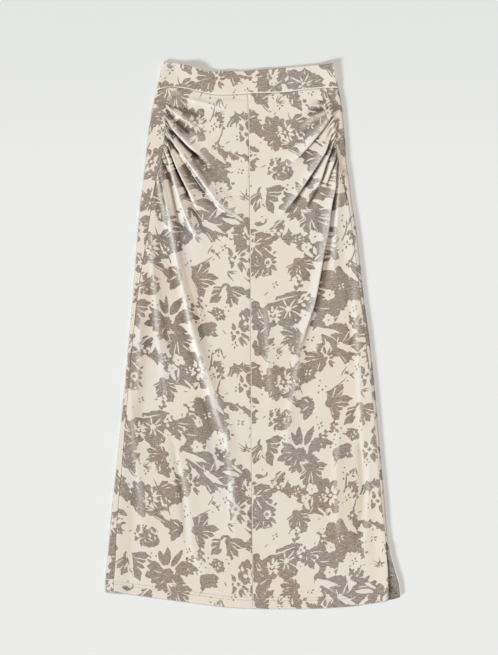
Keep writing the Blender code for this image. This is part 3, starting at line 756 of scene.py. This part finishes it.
def levelled(z, reach):
    """A height field averaged over a square of cells."""
    span = 2 * reach + 1
    for axis in (0, 1):
        widths = [(reach, reach) if axis == i else (0, 0) for i in (0, 1)]
        padded = np.pad(z, widths, mode="edge")
        size = z.shape[axis]
        z = sum(np.take(padded, range(k, k + size), axis=axis) for k in range(span)) / span
    return z


def painted_sheen_and_shade_of(z):
    """Painted sheen up to 1 along crests and painted shade down to -1 in hollows, by the cloth's form."""
    smooth = levelled(levelled(z, PAINTED_SHEEN_REACH), PAINTED_SHEEN_REACH // 2)
    step = (z - smooth) / PAINTED_SHEEN_HEIGHT
    return np.tanh(step * np.sqrt(np.abs(step)))


def front_rows():
    """Levels down the front, closer together through the gathers."""
    v = np.linspace(0, 1, FRONT_ROWS + 1)
    return WAIST_LEVEL + (HEM_LEVEL - WAIST_LEVEL) * (FRONT_ROWS_EVEN * v + (1 - FRONT_ROWS_EVEN) * v * v)


def side_rise(level, to_left, to_right):
    """How far the front is lifted towards both side seams, less so at the slit's front edge."""
    slit_drop = (SEAM_TOP - SLIT_FRONT_EDGE_TOP) * ease((SLIT_TOP - level) / (HEM_CURVE_REACH / 2))
    left = (SEAM_TOP - FRONT_TOP) * (1 - ease(to_left / SIDE_SLOPE_REACH))
    return left + (SEAM_TOP - FRONT_TOP - slit_drop) * (1 - ease(to_right / SIDE_SLOPE_REACH))


def puckers(side, level, from_seam):
    """How high the small puckers beside a side seam stand, and the painted shade between them."""
    lean = PUCKER_LEAN_TOP + PUCKER_LEAN_ADDS * ease((GATHER_TOP - level) / (GATHER_TOP - GATHER_END))
    share = (GATHER_TOP - level - from_seam * lean) / (GATHER_TOP - GATHER_END)
    inside = ease(share / PUCKER_FADE) * ease((1 - share) / PUCKER_FADE)
    bunching = PUCKER_BUNCHING * np.sin(PUCKER_BUNCHING_TURNS * share)
    ridge = np.abs(np.sin(math.pi * (PUCKERS * share + bunching + PUCKER_START[side])))
    reach = PUCKER_REACH * (PUCKER_REACH_MEAN + PUCKER_REACH_CHANGE * np.sin(PUCKER_REACH_TURNS * share))
    taper = inside * (1 - ease(from_seam / reach))
    return PUCKER_HEIGHT * ridge**PUCKER_ROUNDNESS * taper, PUCKER_PAINTED_SHADE * (1 - ridge) ** 2 * taper


def front_grid(side):
    """One front half's upper face from left to right, with its print and its painted shade, glints and sheen.
    """
    u = np.linspace(0, 1, FRONT_COLUMNS + 1)[None, :]
    level = front_rows()[:, None] + 0 * u
    seam = width_at(f"{side}_seam", level)
    centre = width_at("centre", level)
    inwards = 1 if side == "left" else -1
    x = seam + (centre - seam) * u + inwards * SEAM_GAP / 2 * (1 - 2 * u)
    y = bent_to_edges(x, level)
    from_seam = np.abs(x - seam)
    from_centre = np.abs(x - centre)
    below_waist = curve_through(WAIST_SEAM, x) - y
    away = ease(below_waist / FOLD_FADE_FROM_WAIST)
    rise = side_rise(level, x - width_at("left_seam", level), width_at("right_seam", level) - x)
    rise = np.maximum(rise, (BAND_TOP_LEVEL - FRONT_TOP) * (1 - away))
    folded = fold_effects(x, y)
    for effect in folded:
        effect *= away
    # Painted shade in the gaps between puckers
    pucker, gap = puckers(side, level, from_seam)
    dip = SEAM_DIP * (1 - ease(np.minimum(from_seam, from_centre) / SEAM_DIP_REACH))
    z = FRONT_TOP + rise + folded.height + pucker - dip
    z = np.maximum(z, BACK_TOP + LEAST_CLEARANCE + CLOTH)
    grid = np.dstack([x + folded.over_x, y + folded.over_y, z])
    # Painted shade along the seams, weaker low down the sides, and under the band
    from_shaded_seam = np.minimum(from_seam, from_centre) if side == "left" else from_seam
    high = ease((level - SEAM_FADES_AT) / SEAM_FADE)
    seam_shade = SEAM_PAINTED_SHADE * (LOW_SEAM_SHARE + (1 - LOW_SEAM_SHARE) * high)
    tuck = np.maximum(folded.tuck, gap)
    tuck = np.maximum(tuck, seam_shade * (1 - ease(from_shaded_seam / SEAM_LINE)))
    tuck = np.maximum(tuck, UNDER_BAND_PAINTED_SHADE * (1 - ease(below_waist / UNDER_BAND)))
    swung = GRAIN_RISE * from_centre * ease((WAIST_LEVEL - level) / GRAIN_RISE_REACH)
    field = laid_print(x + folded.print_x, y + folded.print_y - swung, FRONT_CUTS[side])
    crest = PAINTED_GLINT_SHARE[side] * folded.crest * (1 - tuck)
    if side == "right":
        field = pale_edge(field, x - centre)
        # Painted glint along the right half's edge at the centre seam
        crest = np.maximum(crest, EDGE_GLINT * (1 - ease((x - centre) / PALE_EDGE)))
    return grid, field, tuck, crest, painted_sheen_and_shade_of(z + dip)


def wound_length(x, z):
    """How far along the cloth each point of a section lies from its first one."""
    return np.concatenate([[0], np.cumsum(np.hypot(np.diff(x), np.diff(z)))])


def rolled_side(outer, strip, unrolled, radius, columns):
    """A section out round the roll to the strip's end: places along X, and heights from the roll's start."""
    turn = math.pi * (1 - unrolled)
    pulled_in = 1 - SLIT_PULLS_IN * math.sin(math.pi * unrolled)
    arc = math.pi * radius * pulled_in
    strip = strip * pulled_in
    beyond_roll = arc + strip * np.arange(1, columns + 1) / columns
    length = np.concatenate([np.linspace(0, arc, ROLL_STEPS + 1), beyond_roll])
    on_arc = np.minimum(length, arc)
    angle = turn * on_arc / arc
    if turn < 0.01:
        out = on_arc
        up = 0.0 * on_arc
    else:
        out = arc / turn * np.sin(angle)
        up = arc / turn * (1 - np.cos(angle))
    beyond = length - on_arc
    x = out + beyond * np.cos(angle)
    return outer - x.max() + x, up + beyond * np.sin(angle)


def back_grid():
    """The back's outer face: left strip, left roll, the flat underside, right roll, right strip."""
    rows = []
    flats = []
    middle = slice(STRIP_COLUMNS + ROLL_STEPS, -STRIP_COLUMNS - ROLL_STEPS)
    for level in WAIST_LEVEL + (HEM_LEVEL - WAIST_LEVEL) * np.linspace(0, 1, BACK_ROWS + 1):
        at = np.array([level])
        left_edge, left_seam, right_seam, right_edge = (
            float(width_at(name, at)[0]) for name in ("left_edge", "left_seam", "right_seam", "right_edge")
        )
        unrolled = float(ease((SLIT_TOP - level) / SLIT_UNROLL))
        gap = right_edge - right_seam
        if level < SLIT_TOP:
            top = np.array([SLIT_TOP])
            gap = float(width_at("right_edge", top)[0] - width_at("right_seam", top)[0])
        left_strip = left_seam - left_edge - ROLL_RADIUS - SEAM_GAP / 2
        right_strip = gap - ROLL_RADIUS - SEAM_GAP / 2
        left_x, left_up = rolled_side(-left_edge, left_strip, 0.0, ROLL_RADIUS, STRIP_COLUMNS)
        right_x, right_up = rolled_side(right_edge, right_strip, unrolled, ROLL_RADIUS, STRIP_COLUMNS)
        right_up = right_up + SLIT_CURL * unrolled * ease(1 - (right_edge - right_x) / SLIT_CURL_REACH) ** 2
        inner = np.linspace(-left_x[0], right_x[0], BACK_COLUMNS + 1)[1:-1]
        x = np.concatenate([-left_x[::-1], inner, right_x])
        z = np.concatenate([left_up[::-1], 0 * inner, right_up])
        rows.append(np.column_stack([x, bent_to_edges(x, np.full(x.shape, level)), z]))
        wound = wound_length(x, z)
        flats.append(wound - np.interp(0.0, x[middle], wound[middle]))
    grid = np.array(rows)
    x = grid[:, :, 0]
    from_left = x - x.min(axis=1, keepdims=True)
    from_right = x.max(axis=1, keepdims=True) - x
    shade = LEFT_ROLL_SHADE.dark * np.exp(-((from_left / LEFT_ROLL_SHADE.reach) ** 2))
    shade = shade + RIGHT_ROLL_SHADE.dark * np.exp(-((from_right / RIGHT_ROLL_SHADE.reach) ** 2))
    return grid, laid_print(np.array(flats), grid[:, :, 1], BACK_CUT), shade


def band_y(x, share):
    bottom = curve_through(WAIST_SEAM, x) + SEAM_GAP / 2
    return bottom + (curve_through(BAND_TOP, x) - bottom) * share


def band_edges(share):
    left = BAND_LEFT_EDGE[0] + (BAND_LEFT_EDGE[1] - BAND_LEFT_EDGE[0]) * share
    right = BAND_RIGHT_EDGE[0] + (BAND_RIGHT_EDGE[1] - BAND_RIGHT_EDGE[0]) * share
    return left, right


def band_front_grid():
    """The outer face of the band's front, which turns under at both sides and is higher at the right."""
    rows = []
    flats = []
    from_seam = []
    for share in np.linspace(0, 1, BAND_ROWS + 1)[::-1]:
        left_edge, right_edge = band_edges(share)
        risen = BAND_RIGHT_LEAST + (1 - BAND_RIGHT_LEAST) * share
        right_radius = BAND_ROLL_RADIUS + BAND_RIGHT_RISE * risen
        right_strip = BAND_STRIP + BAND_ROLL_RADIUS - right_radius
        left_x, left_down = rolled_side(0.0, BAND_STRIP, 0.0, BAND_ROLL_RADIUS, BAND_STRIP_COLUMNS)
        right_x, right_down = rolled_side(0.0, right_strip, 0.0, right_radius, BAND_STRIP_COLUMNS)
        inner = np.linspace(left_edge - left_x[0], right_edge + right_x[0], BAND_COLUMNS + 1)[1:-1]
        level = BAND_TOP_LEVEL + 0 * inner
        level += (2 * BAND_ROLL_RADIUS - BAND_TOP_LEVEL) * (1 - ease((inner - left_edge) / SIDE_SLOPE_REACH))
        level += (2 * right_radius - BAND_TOP_LEVEL) * (1 - ease((right_edge - inner) / BAND_RIGHT_REACH))
        lift = BAND_LIFT * share**2 * np.exp(-(((inner - BAND_LIFT_PLACE) / BAND_LIFT_REACH) ** 2))
        wave = np.sin(inner / BAND_RIPPLE_LENGTH + 2 * np.sin(inner / BAND_RIPPLE_DRIFT))
        ripple = BAND_RIPPLE * wave * (BAND_RIPPLE_LEAST + (1 - BAND_RIPPLE_LEAST) * share)
        edge = BAND_SEAM_DIP * (1 - ease(share * BAND_DEPTH / BAND_SEAM_DIP_REACH))
        edge = edge + BAND_TOP_DIP * (1 - ease((1 - share) * BAND_DEPTH / BAND_TOP_DIP_REACH))
        x = np.concatenate([left_edge - left_x[::-1], inner, right_edge + right_x])
        z = np.concatenate([
            2 * BAND_ROLL_RADIUS - left_down[::-1],
            level + lift + ripple - edge,
            2 * right_radius - right_down,
        ])
        rows.append(np.column_stack([x, band_y(x, share), z]))
        wound = wound_length(x, z)
        flats.append(wound - wound[len(wound) // 2])
        from_seam.append(np.full(x.shape, share * BAND_DEPTH))
    grid = np.array(rows)
    field = laid_print(np.array(flats), grid[:, :, 1], BAND_FRONT_CUT)
    from_seam = np.array(from_seam)
    # The band's painted glint runs along its lower edge
    return grid, pale_edge(field, from_seam), EDGE_GLINT * (1 - ease(from_seam / BAND_PALE_EDGE))


def band_back_grid():
    rows = []
    for share in np.linspace(0, 1, BAND_ROWS + 1)[::-1]:
        left_edge, right_edge = band_edges(share)
        inset = BAND_ROLL_RADIUS + BAND_STRIP + SEAM_GAP
        x = np.linspace(left_edge + inset, right_edge - inset, BAND_COLUMNS // 2 + 1)
        rows.append(np.column_stack([x, band_y(x, share), np.full(x.shape, BAND_BACK_TOP)]))
    grid = np.array(rows)
    return grid, laid_print(grid[:, :, 0], grid[:, :, 1], BAND_BACK_CUT)


def grid_normals(grid):
    down = np.gradient(grid, axis=0)
    across = np.gradient(grid, axis=1)
    normal = np.cross(down, across)
    return normal / np.linalg.norm(normal, axis=2, keepdims=True)


def under_face(grid, wall, lies_flat):
    """The inner face, a coarser grid a wall's thickness behind the outer one."""
    step = UNDER_STEP
    under = (grid - grid_normals(grid) * wall)[::step, ::step].copy()
    if lies_flat:
        z = grid[:, :, 2]
        low = z.copy()
        for shift in range(1, step + 1):
            low[shift:] = np.minimum(low[shift:], z[:-shift])
            low[:-shift] = np.minimum(low[:-shift], z[shift:])
        wide = low.copy()
        for shift in range(1, step + 1):
            wide[:, shift:] = np.minimum(wide[:, shift:], low[:, :-shift])
            wide[:, :-shift] = np.minimum(wide[:, :-shift], low[:, shift:])
        under = grid[::step, ::step].copy()
        under[:, :, 2] = wide[::step, ::step] - wall
    return under


def rim_faces(fine, coarse):
    """Triangles between an edge's fine points and the coarse points behind them, in step."""
    faces = []
    step = UNDER_STEP
    for j in range(len(coarse) - 1):
        middle = j * step + step // 2
        for i in range(j * step, (j + 1) * step):
            behind = coarse[j] if i < middle else coarse[j + 1]
            faces.append((fine[i], behind, fine[i + 1]))
        faces.append((fine[middle], coarse[j], coarse[j + 1]))
    return faces


def add_object(name, data):
    thing = bpy.data.objects.new(name, data)
    bpy.context.scene.collection.objects.link(thing)
    return thing


def thin_shell(name, grid, wall, field, tuck=None, crest=None, painted_sheen_and_shade=None, lies_flat=False, outwards=True):
    """A closed sheet of cloth: a fine outer face, a coarse inner face and the cut edges between them."""
    rows, columns, _ = grid.shape
    under = under_face(grid, wall if outwards else -wall, lies_flat)
    under_rows, under_columns, _ = under.shape
    outer = np.arange(rows * columns).reshape(rows, columns)
    inner = rows * columns + np.arange(under_rows * under_columns).reshape(under_rows, under_columns)
    quads = np.stack([outer[:-1, :-1], outer[1:, :-1], outer[1:, 1:], outer[:-1, 1:]], axis=-1)
    under_quads = np.stack([inner[:-1, :-1], inner[:-1, 1:], inner[1:, 1:], inner[1:, :-1]], axis=-1)
    faces = quads.reshape(-1, 4).tolist() + under_quads.reshape(-1, 4).tolist()
    faces += rim_faces(outer[:, -1], inner[:, -1])
    faces += rim_faces(outer[::-1, 0], inner[::-1, 0])
    faces += rim_faces(outer[0, ::-1], inner[0, ::-1])
    faces += rim_faces(outer[-1], inner[-1])
    points = np.concatenate([grid.reshape(-1, 3), under.reshape(-1, 3)])
    mesh = bpy.data.meshes.new(name)
    mesh.from_pydata(points.tolist(), [], faces)
    wrong_side = np.ones((under_rows, under_columns))
    wrong_side[:, -CUT_EDGE_COLUMNS:] = 0
    print_behind = field[::UNDER_STEP, ::UNDER_STEP].copy()
    print_behind[:, -CUT_EDGE_COLUMNS:] = CUT_EDGE_PRINT
    # Values at the points: the print, the wrong side, painted shade, painted glint, and painted sheen and
    # shade
    looks = {
        "print": (field, print_behind),
        "inside": (None, wrong_side),
        "tuck": (tuck, None),
        "crest": (crest, None),
        "painted_sheen_and_shade": (painted_sheen_and_shade, None),
    }
    for attribute, (ahead, behind) in looks.items():
        ahead = np.zeros((rows, columns)) if ahead is None else ahead
        behind = np.zeros((under_rows, under_columns)) if behind is None else behind
        layer = mesh.attributes.new(attribute, "FLOAT", "POINT")
        values = np.concatenate([ahead.ravel(), behind.ravel()])
        layer.data.foreach_set("value", values.astype(np.float32))
    mesh.shade_smooth()
    return add_object(name, mesh)


def stitch_shape(middle, along, half_length, radius):
    """One stitch: a short pointed bead lying along a direction, as points and faces."""
    along = np.array(along) / np.linalg.norm(along)
    side = np.cross((0.0, 0.0, 1.0), along)
    side = side / np.linalg.norm(side)
    up = np.cross(along, side)
    points = [middle - along * half_length]
    for share in (-STITCH_SHOULDER, STITCH_SHOULDER):
        for k in range(STITCH_SIDES):
            turn = 2 * math.pi * k / STITCH_SIDES
            out = radius * (side * math.cos(turn) + up * math.sin(turn))
            points.append(middle + along * half_length * share + out)
    points.append(middle + along * half_length)
    sides = [(1 + k, 1 + (k + 1) % STITCH_SIDES) for k in range(STITCH_SIDES)]
    faces = [(0, b, a) for a, b in sides]
    faces += [(a, b, b + STITCH_SIDES, a + STITCH_SIDES) for a, b in sides]
    faces += [(len(points) - 1, a + STITCH_SIDES, b + STITCH_SIDES) for a, b in sides]
    return points, faces


def lying_on(grid, x, y):
    """The height of a grid's upper face at one place."""
    away = (grid[:, :, 0] - x) ** 2 + (grid[:, :, 1] - y) ** 2
    return grid[:, :, 2].ravel()[np.argmin(away)]


def sewing(left, right):
    """The hem's two rows of stitches and both bars, at the slit and on the right strip, as one mesh."""
    points = []
    faces = []

    def add(middle, along, half_length, radius):
        shape, shape_faces = stitch_shape(np.array(middle), along, half_length, radius)
        faces.extend([tuple(len(points) + i for i in face) for face in shape_faces])
        points.extend(shape)

    hem_parts = (
        (left[-HEM_STITCH_ROWS:], "left_seam", "centre"),
        (right[-HEM_STITCH_ROWS:], "centre", "right_seam"),
    )
    for above in HEM_STITCHES:
        for grid, start, end in hem_parts:
            level = np.array([HEM_LEVEL + above])
            first = float(width_at(start, level)[0]) + STITCH_LENGTH
            last = float(width_at(end, level)[0]) - STITCH_LENGTH
            for x in np.arange(first, last, STITCH_LENGTH + STITCH_GAP):
                places = np.array([x - STITCH_LENGTH / 2, x, x + STITCH_LENGTH / 2])
                y = curve_through(HEM, places) + above
                z = lying_on(grid, x, y[1]) + STITCH_RADIUS / 3
                add((x, y[1], z), (STITCH_LENGTH, y[2] - y[0], 0.0), STITCH_LENGTH / 2, STITCH_RADIUS)
    for bar in BARS:
        x = (bar.start + bar.end) / 2 * MM
        length = bar.end - bar.start
        add((x, bar.y * MM, bar.level * MM), (length, 0.0, bar.rise), length / 2 * MM, BAR_RADIUS)
    mesh = bpy.data.meshes.new("sewing")
    mesh.from_pydata([tuple(point) for point in points], [], faces)
    mesh.shade_smooth()
    return add_object("sewing", mesh)


# Colours of the satin, from painted shade in its hollows to painted sheen on its crests, of its wrong side
# darkened with painted shade, of its painted glints and of the painted shade in its creases and along seams
CREAMS_SHADED_TO_LIT = ((0.68, 0.575, 0.45, 1), (0.80, 0.732, 0.627, 1), (0.80, 0.76, 0.69, 1))
TAUPES_SHADED_TO_LIT = ((0.125, 0.09, 0.068, 1), (0.342, 0.280, 0.238, 1), (0.52, 0.46, 0.41, 1))
WRONG_SIDE_SHADED_DARK = (0.035, 0.024, 0.017, 1)
WRONG_SIDE_SHADED_PALE = (0.20, 0.155, 0.125, 1)
GLINT = (0.90, 0.87, 0.82, 1)
PAINTED_SHADE_COLOUR = (0.045, 0.032, 0.022, 1)
THREAD_DARK = (0.45, 0.39, 0.32, 1)
THREAD_PALE = (0.70, 0.63, 0.53, 1)

# How strongly each look shows: the wrong side and its painted shade, painted shade, painted glints, slubs,
# and heather on the taupe
SHADED_WRONG_SIDE_SHOWS = 0.8
PAINTED_SHADE_SHOWS = 0.86
GLINTS_SHOW = 0.66
TAUPE_SLUBS = 1.4
CREAM_SLUBS = 0.08
HEATHER = 0.46
HEATHER_MIDDLE = 0.4
SLUB_LENGTH_MM = 11.0
SLUB_THREAD_MM = 1.7
SLUB_BUMP = 0.12
SLUB_HEIGHT = 0.4 * MM
PRINT_EDGE_MM = 0.35

# The satin's surface
SATIN = {
    "Roughness": 0.38,
    "Specular IOR Level": 0.52,
    "Coat Weight": 0.09,
    "Coat Roughness": 0.27,
    "Sheen Weight": 0.12,
    "Sheen Roughness": 0.4,
}
THREAD = {"Roughness": 0.5}
PAPER = {"Roughness": 0.9, "Specular IOR Level": 0.1}
# The paper's colour, darkened far off by painted shade
PAPER_NEAR = (0.828, 0.835, 0.822, 1)
PAPER_FAR_PAINTED_SHADE = (0.772, 0.785, 0.773, 1)
PAPER_FALLS_OFF = (0.2, 0.62)


def new_group(name, inputs, outputs):
    group = bpy.data.node_groups.new(name, "ShaderNodeTree")
    for label, kind, value in inputs:
        socket = group.interface.new_socket(label, in_out="INPUT", socket_type=kind)
        socket.default_value = value
    for label, kind in outputs:
        group.interface.new_socket(label, in_out="OUTPUT", socket_type=kind)
    start = group.nodes.new("NodeGroupInput")
    end = group.nodes.new("NodeGroupOutput")
    return group, start, end


def new_material(name, surface):
    material = bpy.data.materials.new(name)
    material.use_nodes = True
    tree = material.node_tree
    shader = tree.nodes["Principled BSDF"]
    for label, value in surface.items():
        shader.inputs[label].default_value = value
    return material, tree, shader


def put(tree, socket, value):
    """Feed a socket from another node's output, or set it to a number or a colour."""
    if isinstance(value, bpy.types.NodeSocket):
        tree.links.new(value, socket)
    else:
        socket.default_value = value


def placed(tree, group):
    node = tree.nodes.new("ShaderNodeGroup")
    node.node_tree = group
    return node


def calc(tree, operation, *values):
    node = tree.nodes.new("ShaderNodeMath")
    node.operation = operation
    for socket, value in zip(node.inputs, values):
        put(tree, socket, value)
    return node.outputs[0]


def mixed(tree, share, first, second):
    node = tree.nodes.new("ShaderNodeMix")
    node.data_type = "RGBA"
    put(tree, node.inputs["Factor"], share)
    put(tree, node.inputs[6], first)
    put(tree, node.inputs[7], second)
    return node.outputs[2]


def noise(tree, place, scale, detail=2.0, roughness=0.5):
    node = tree.nodes.new("ShaderNodeTexNoise")
    put(tree, node.inputs["Vector"], place)
    put(tree, node.inputs["Scale"], scale)
    put(tree, node.inputs["Detail"], detail)
    put(tree, node.inputs["Roughness"], roughness)
    return node.outputs["Fac"]


def remapped(tree, value, low, high, to_low=0.0, to_high=1.0, kind="SMOOTHSTEP"):
    node = tree.nodes.new("ShaderNodeMapRange")
    node.interpolation_type = kind
    put(tree, node.inputs["Value"], value)
    put(tree, node.inputs["From Min"], low)
    put(tree, node.inputs["From Max"], high)
    put(tree, node.inputs["To Min"], to_low)
    put(tree, node.inputs["To Max"], to_high)
    return node.outputs["Result"]


def cloth_value(tree, name):
    """One of the values that the cloth's mesh carries at its points."""
    node = tree.nodes.new("ShaderNodeAttribute")
    node.attribute_name = name
    return node.outputs["Fac"]


def own_place(tree):
    return tree.nodes.new("ShaderNodeTexCoord").outputs["Object"]


def slub_weave():
    """Fine crosswise slubs of the satin: a streak around 0, a height for bump, loose specks and warmth."""
    labels = ("Streak", "Height", "Speckle", "Warmth")
    tree, start, end = new_group(
        "slub_weave",
        [
            ("Streak length", "NodeSocketFloat", SLUB_LENGTH_MM),
            ("Thread", "NodeSocketFloat", SLUB_THREAD_MM),
        ],
        [(label, "NodeSocketFloat") for label in labels],
    )
    place = own_place(tree)
    split = tree.nodes.new("ShaderNodeSeparateXYZ")
    put(tree, split.inputs[0], place)
    join = tree.nodes.new("ShaderNodeCombineXYZ")
    for axis, label in ((0, "Streak length"), (1, "Thread")):
        in_mm = calc(tree, "MULTIPLY", split.outputs[axis], 1000.0)
        put(tree, join.inputs[axis], calc(tree, "DIVIDE", in_mm, start.outputs[label]))
    threads = noise(tree, join.outputs[0], 1.0, roughness=0.6)
    streak = calc(tree, "SUBTRACT", threads, 0.5)
    speckle = remapped(tree, noise(tree, place, 420.0), 0.4, 0.68)
    warmth = remapped(tree, noise(tree, place, 8.0, detail=1.0), 0.35, 0.65, 0.84, 1.2, kind="LINEAR")
    for label, value in zip(labels, (streak, threads, speckle, warmth)):
        put(tree, end.inputs[label], value)
    return tree


def floral_print():
    """Ground or figure colour from the cloth's own print value, with a crisp, slightly soaked edge."""
    tree, start, end = new_group(
        "floral_print",
        [
            ("Ground", "NodeSocketColor", CREAMS_SHADED_TO_LIT[1]),
            ("Figure", "NodeSocketColor", TAUPES_SHADED_TO_LIT[1]),
            ("Edge", "NodeSocketFloat", PRINT_EDGE_MM),
        ],
        [("Colour", "NodeSocketColor"), ("Figure share", "NodeSocketFloat")],
    )
    edge = start.outputs["Edge"]
    share = remapped(tree, cloth_value(tree, "print"), calc(tree, "MULTIPLY", edge, -1.0), edge)
    put(tree, end.inputs["Colour"], mixed(tree, share, start.outputs["Ground"], start.outputs["Figure"]))
    put(tree, end.inputs["Figure share"], share)
    return tree


def satin_material(weave, floral):
    material, tree, shader = new_material("printed_satin", SATIN)
    threads = placed(tree, weave)
    printed = placed(tree, floral)
    # Painted sheen and shade: each print colour runs from a shaded copy in hollows to a lit copy on crests
    lean = calc(tree, "MULTIPLY_ADD", cloth_value(tree, "painted_sheen_and_shade"), 0.5, 0.5)
    for label, tones in (("Ground", CREAMS_SHADED_TO_LIT), ("Figure", TAUPES_SHADED_TO_LIT)):
        ramp = tree.nodes.new("ShaderNodeValToRGB")
        ramp.color_ramp.elements.new(0.5)
        for element, tone in zip(ramp.color_ramp.elements, tones):
            element.color = tone
        put(tree, ramp.inputs["Fac"], lean)
        put(tree, printed.inputs[label], ramp.outputs["Color"])
    figure = printed.outputs["Figure share"]
    speckle = threads.outputs["Speckle"]
    # The wrong side's colour, darkened with painted shade, with paler specks
    shaded_reverse = mixed(tree, speckle, WRONG_SIDE_SHADED_DARK, WRONG_SIDE_SHADED_PALE)
    shows = calc(tree, "MULTIPLY", cloth_value(tree, "inside"), SHADED_WRONG_SIDE_SHOWS)
    side = mixed(tree, shows, printed.outputs["Colour"], shaded_reverse)
    strength = calc(tree, "MULTIPLY_ADD", figure, TAUPE_SLUBS, CREAM_SLUBS)
    slubs = calc(tree, "MULTIPLY", threads.outputs["Streak"], strength)
    specks = calc(tree, "MULTIPLY_ADD", speckle, HEATHER, -HEATHER * HEATHER_MIDDLE)
    heather = calc(tree, "MULTIPLY", specks, figure)
    tint = tree.nodes.new("ShaderNodeHueSaturation")
    put(tree, tint.inputs["Value"], calc(tree, "ADD", calc(tree, "ADD", slubs, heather), 1.0))
    put(tree, tint.inputs["Saturation"], threads.outputs["Warmth"])
    put(tree, tint.inputs["Color"], side)
    # Painted shade in creases, seams, pucker gaps, under the band and on the rolled sides
    painted_shading = calc(tree, "MULTIPLY", cloth_value(tree, "tuck"), PAINTED_SHADE_SHOWS)
    shaded = mixed(tree, painted_shading, tint.outputs["Color"], PAINTED_SHADE_COLOUR)
    # Painted glint on crests and seam edges
    painted_glinting = calc(tree, "MULTIPLY", cloth_value(tree, "crest"), GLINTS_SHOW)
    put(tree, shader.inputs["Base Color"], mixed(tree, painted_glinting, shaded, GLINT))
    bump = tree.nodes.new("ShaderNodeBump")
    bump.inputs["Strength"].default_value = SLUB_BUMP
    bump.inputs["Distance"].default_value = SLUB_HEIGHT
    put(tree, bump.inputs["Height"], threads.outputs["Height"])
    put(tree, shader.inputs["Normal"], bump.outputs["Normal"])
    return material


def thread_material():
    material, tree, shader = new_material("sewing_thread", THREAD)
    twist = noise(tree, own_place(tree), 900.0)
    put(tree, shader.inputs["Base Color"], mixed(tree, twist, THREAD_DARK, THREAD_PALE))
    return material


def floor_material():
    """Plain paper, darker past the waist by painted shade."""
    material, tree, shader = new_material("studio_paper", PAPER)
    split = tree.nodes.new("ShaderNodeSeparateXYZ")
    put(tree, split.inputs[0], own_place(tree))
    # Painted shade: the paper darkens past the waist
    falloff = remapped(tree, split.outputs["Y"], *PAPER_FALLS_OFF)
    put(tree, shader.inputs["Base Color"], mixed(tree, falloff, PAPER_NEAR, PAPER_FAR_PAINTED_SHADE))
    return material


def make_camera():
    lens = bpy.data.cameras.new("camera")
    lens.sensor_fit = "VERTICAL"
    lens.angle = 2 * math.atan(PICTURE_HEIGHT / 2 / CAMERA_HEIGHT)
    camera = add_object("camera", lens)
    camera.location = (*CAMERA_PLACE, CAMERA_HEIGHT)
    bpy.context.scene.camera = camera


# Far soft lights: each stands tilt degrees from overhead, on the side that turn says (0 is the left)
Lamp = namedtuple("Lamp", "name colour strength softness turn tilt")
LAMPS = [
    Lamp("window", (0.86, 0.94, 1.0), 3.0, 13, 36, 66),
    Lamp("overhead", (1.0, 0.965, 0.93), 1.72, 26, -128, 36),
]
ROOM_COLOUR = (1.0, 0.93, 0.84, 1)
ROOM_STRENGTH = 0.23
FLOOR_REACH = 6.0


def make_light():
    for row in LAMPS:
        lamp = bpy.data.lights.new(row.name, "SUN")
        lamp.energy = row.strength
        lamp.color = row.colour
        lamp.angle = math.radians(row.softness)
        light = add_object(row.name, lamp)
        light.rotation_euler = (0, math.radians(-row.tilt), math.radians(row.turn))
    world = bpy.data.worlds.new("studio")
    world.use_nodes = True
    room = world.node_tree.nodes["Background"]
    room.inputs["Color"].default_value = ROOM_COLOUR
    room.inputs["Strength"].default_value = ROOM_STRENGTH
    bpy.context.scene.world = world
    bpy.context.scene.view_settings.view_transform = "Standard"


def make_floor():
    mesh = bpy.data.meshes.new("floor")
    corners = [(FLOOR_REACH * x, FLOOR_REACH * y, 0) for x, y in ((-1, -1), (1, -1), (1, 1), (-1, 1))]
    mesh.from_pydata(corners, [], [(0, 1, 2, 3)])
    mesh.materials.append(floor_material())
    floor = add_object("floor", mesh)


def build():
    make_camera()
    make_light()
    make_floor()
    satin = satin_material(slub_weave(), floral_print())
    left, left_field, *left_look = front_grid("left")
    right, right_field, *right_look = front_grid("right")
    back, back_field, back_shade = back_grid()
    band, band_field, band_painted_glint = band_front_grid()
    band_back, band_back_field = band_back_grid()
    stitches = sewing(left, right)
    stitches.data.materials.append(thread_material())
    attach(stitches, "root")
    pieces = [
        thin_shell("front_left_cloth", left, CLOTH, left_field, *left_look, lies_flat=True),
        thin_shell("front_right_cloth", right, CLOTH, right_field, *right_look, lies_flat=True),
        thin_shell("back_cloth", back, CLOTH, back_field, back_shade, outwards=False),
        thin_shell("waistband_front_cloth", band, CLOTH, band_field, crest=band_painted_glint),
        thin_shell("waistband_back_cloth", band_back, BAND_BACK_WALL, band_back_field),
    ]
    nodes = ("front_left", "front_right", "back", "waistband_front", "waistband_back")
    for node, piece in zip(nodes, pieces):
        piece.data.materials.append(satin)
        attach(piece, "root")
        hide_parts(node)


build()
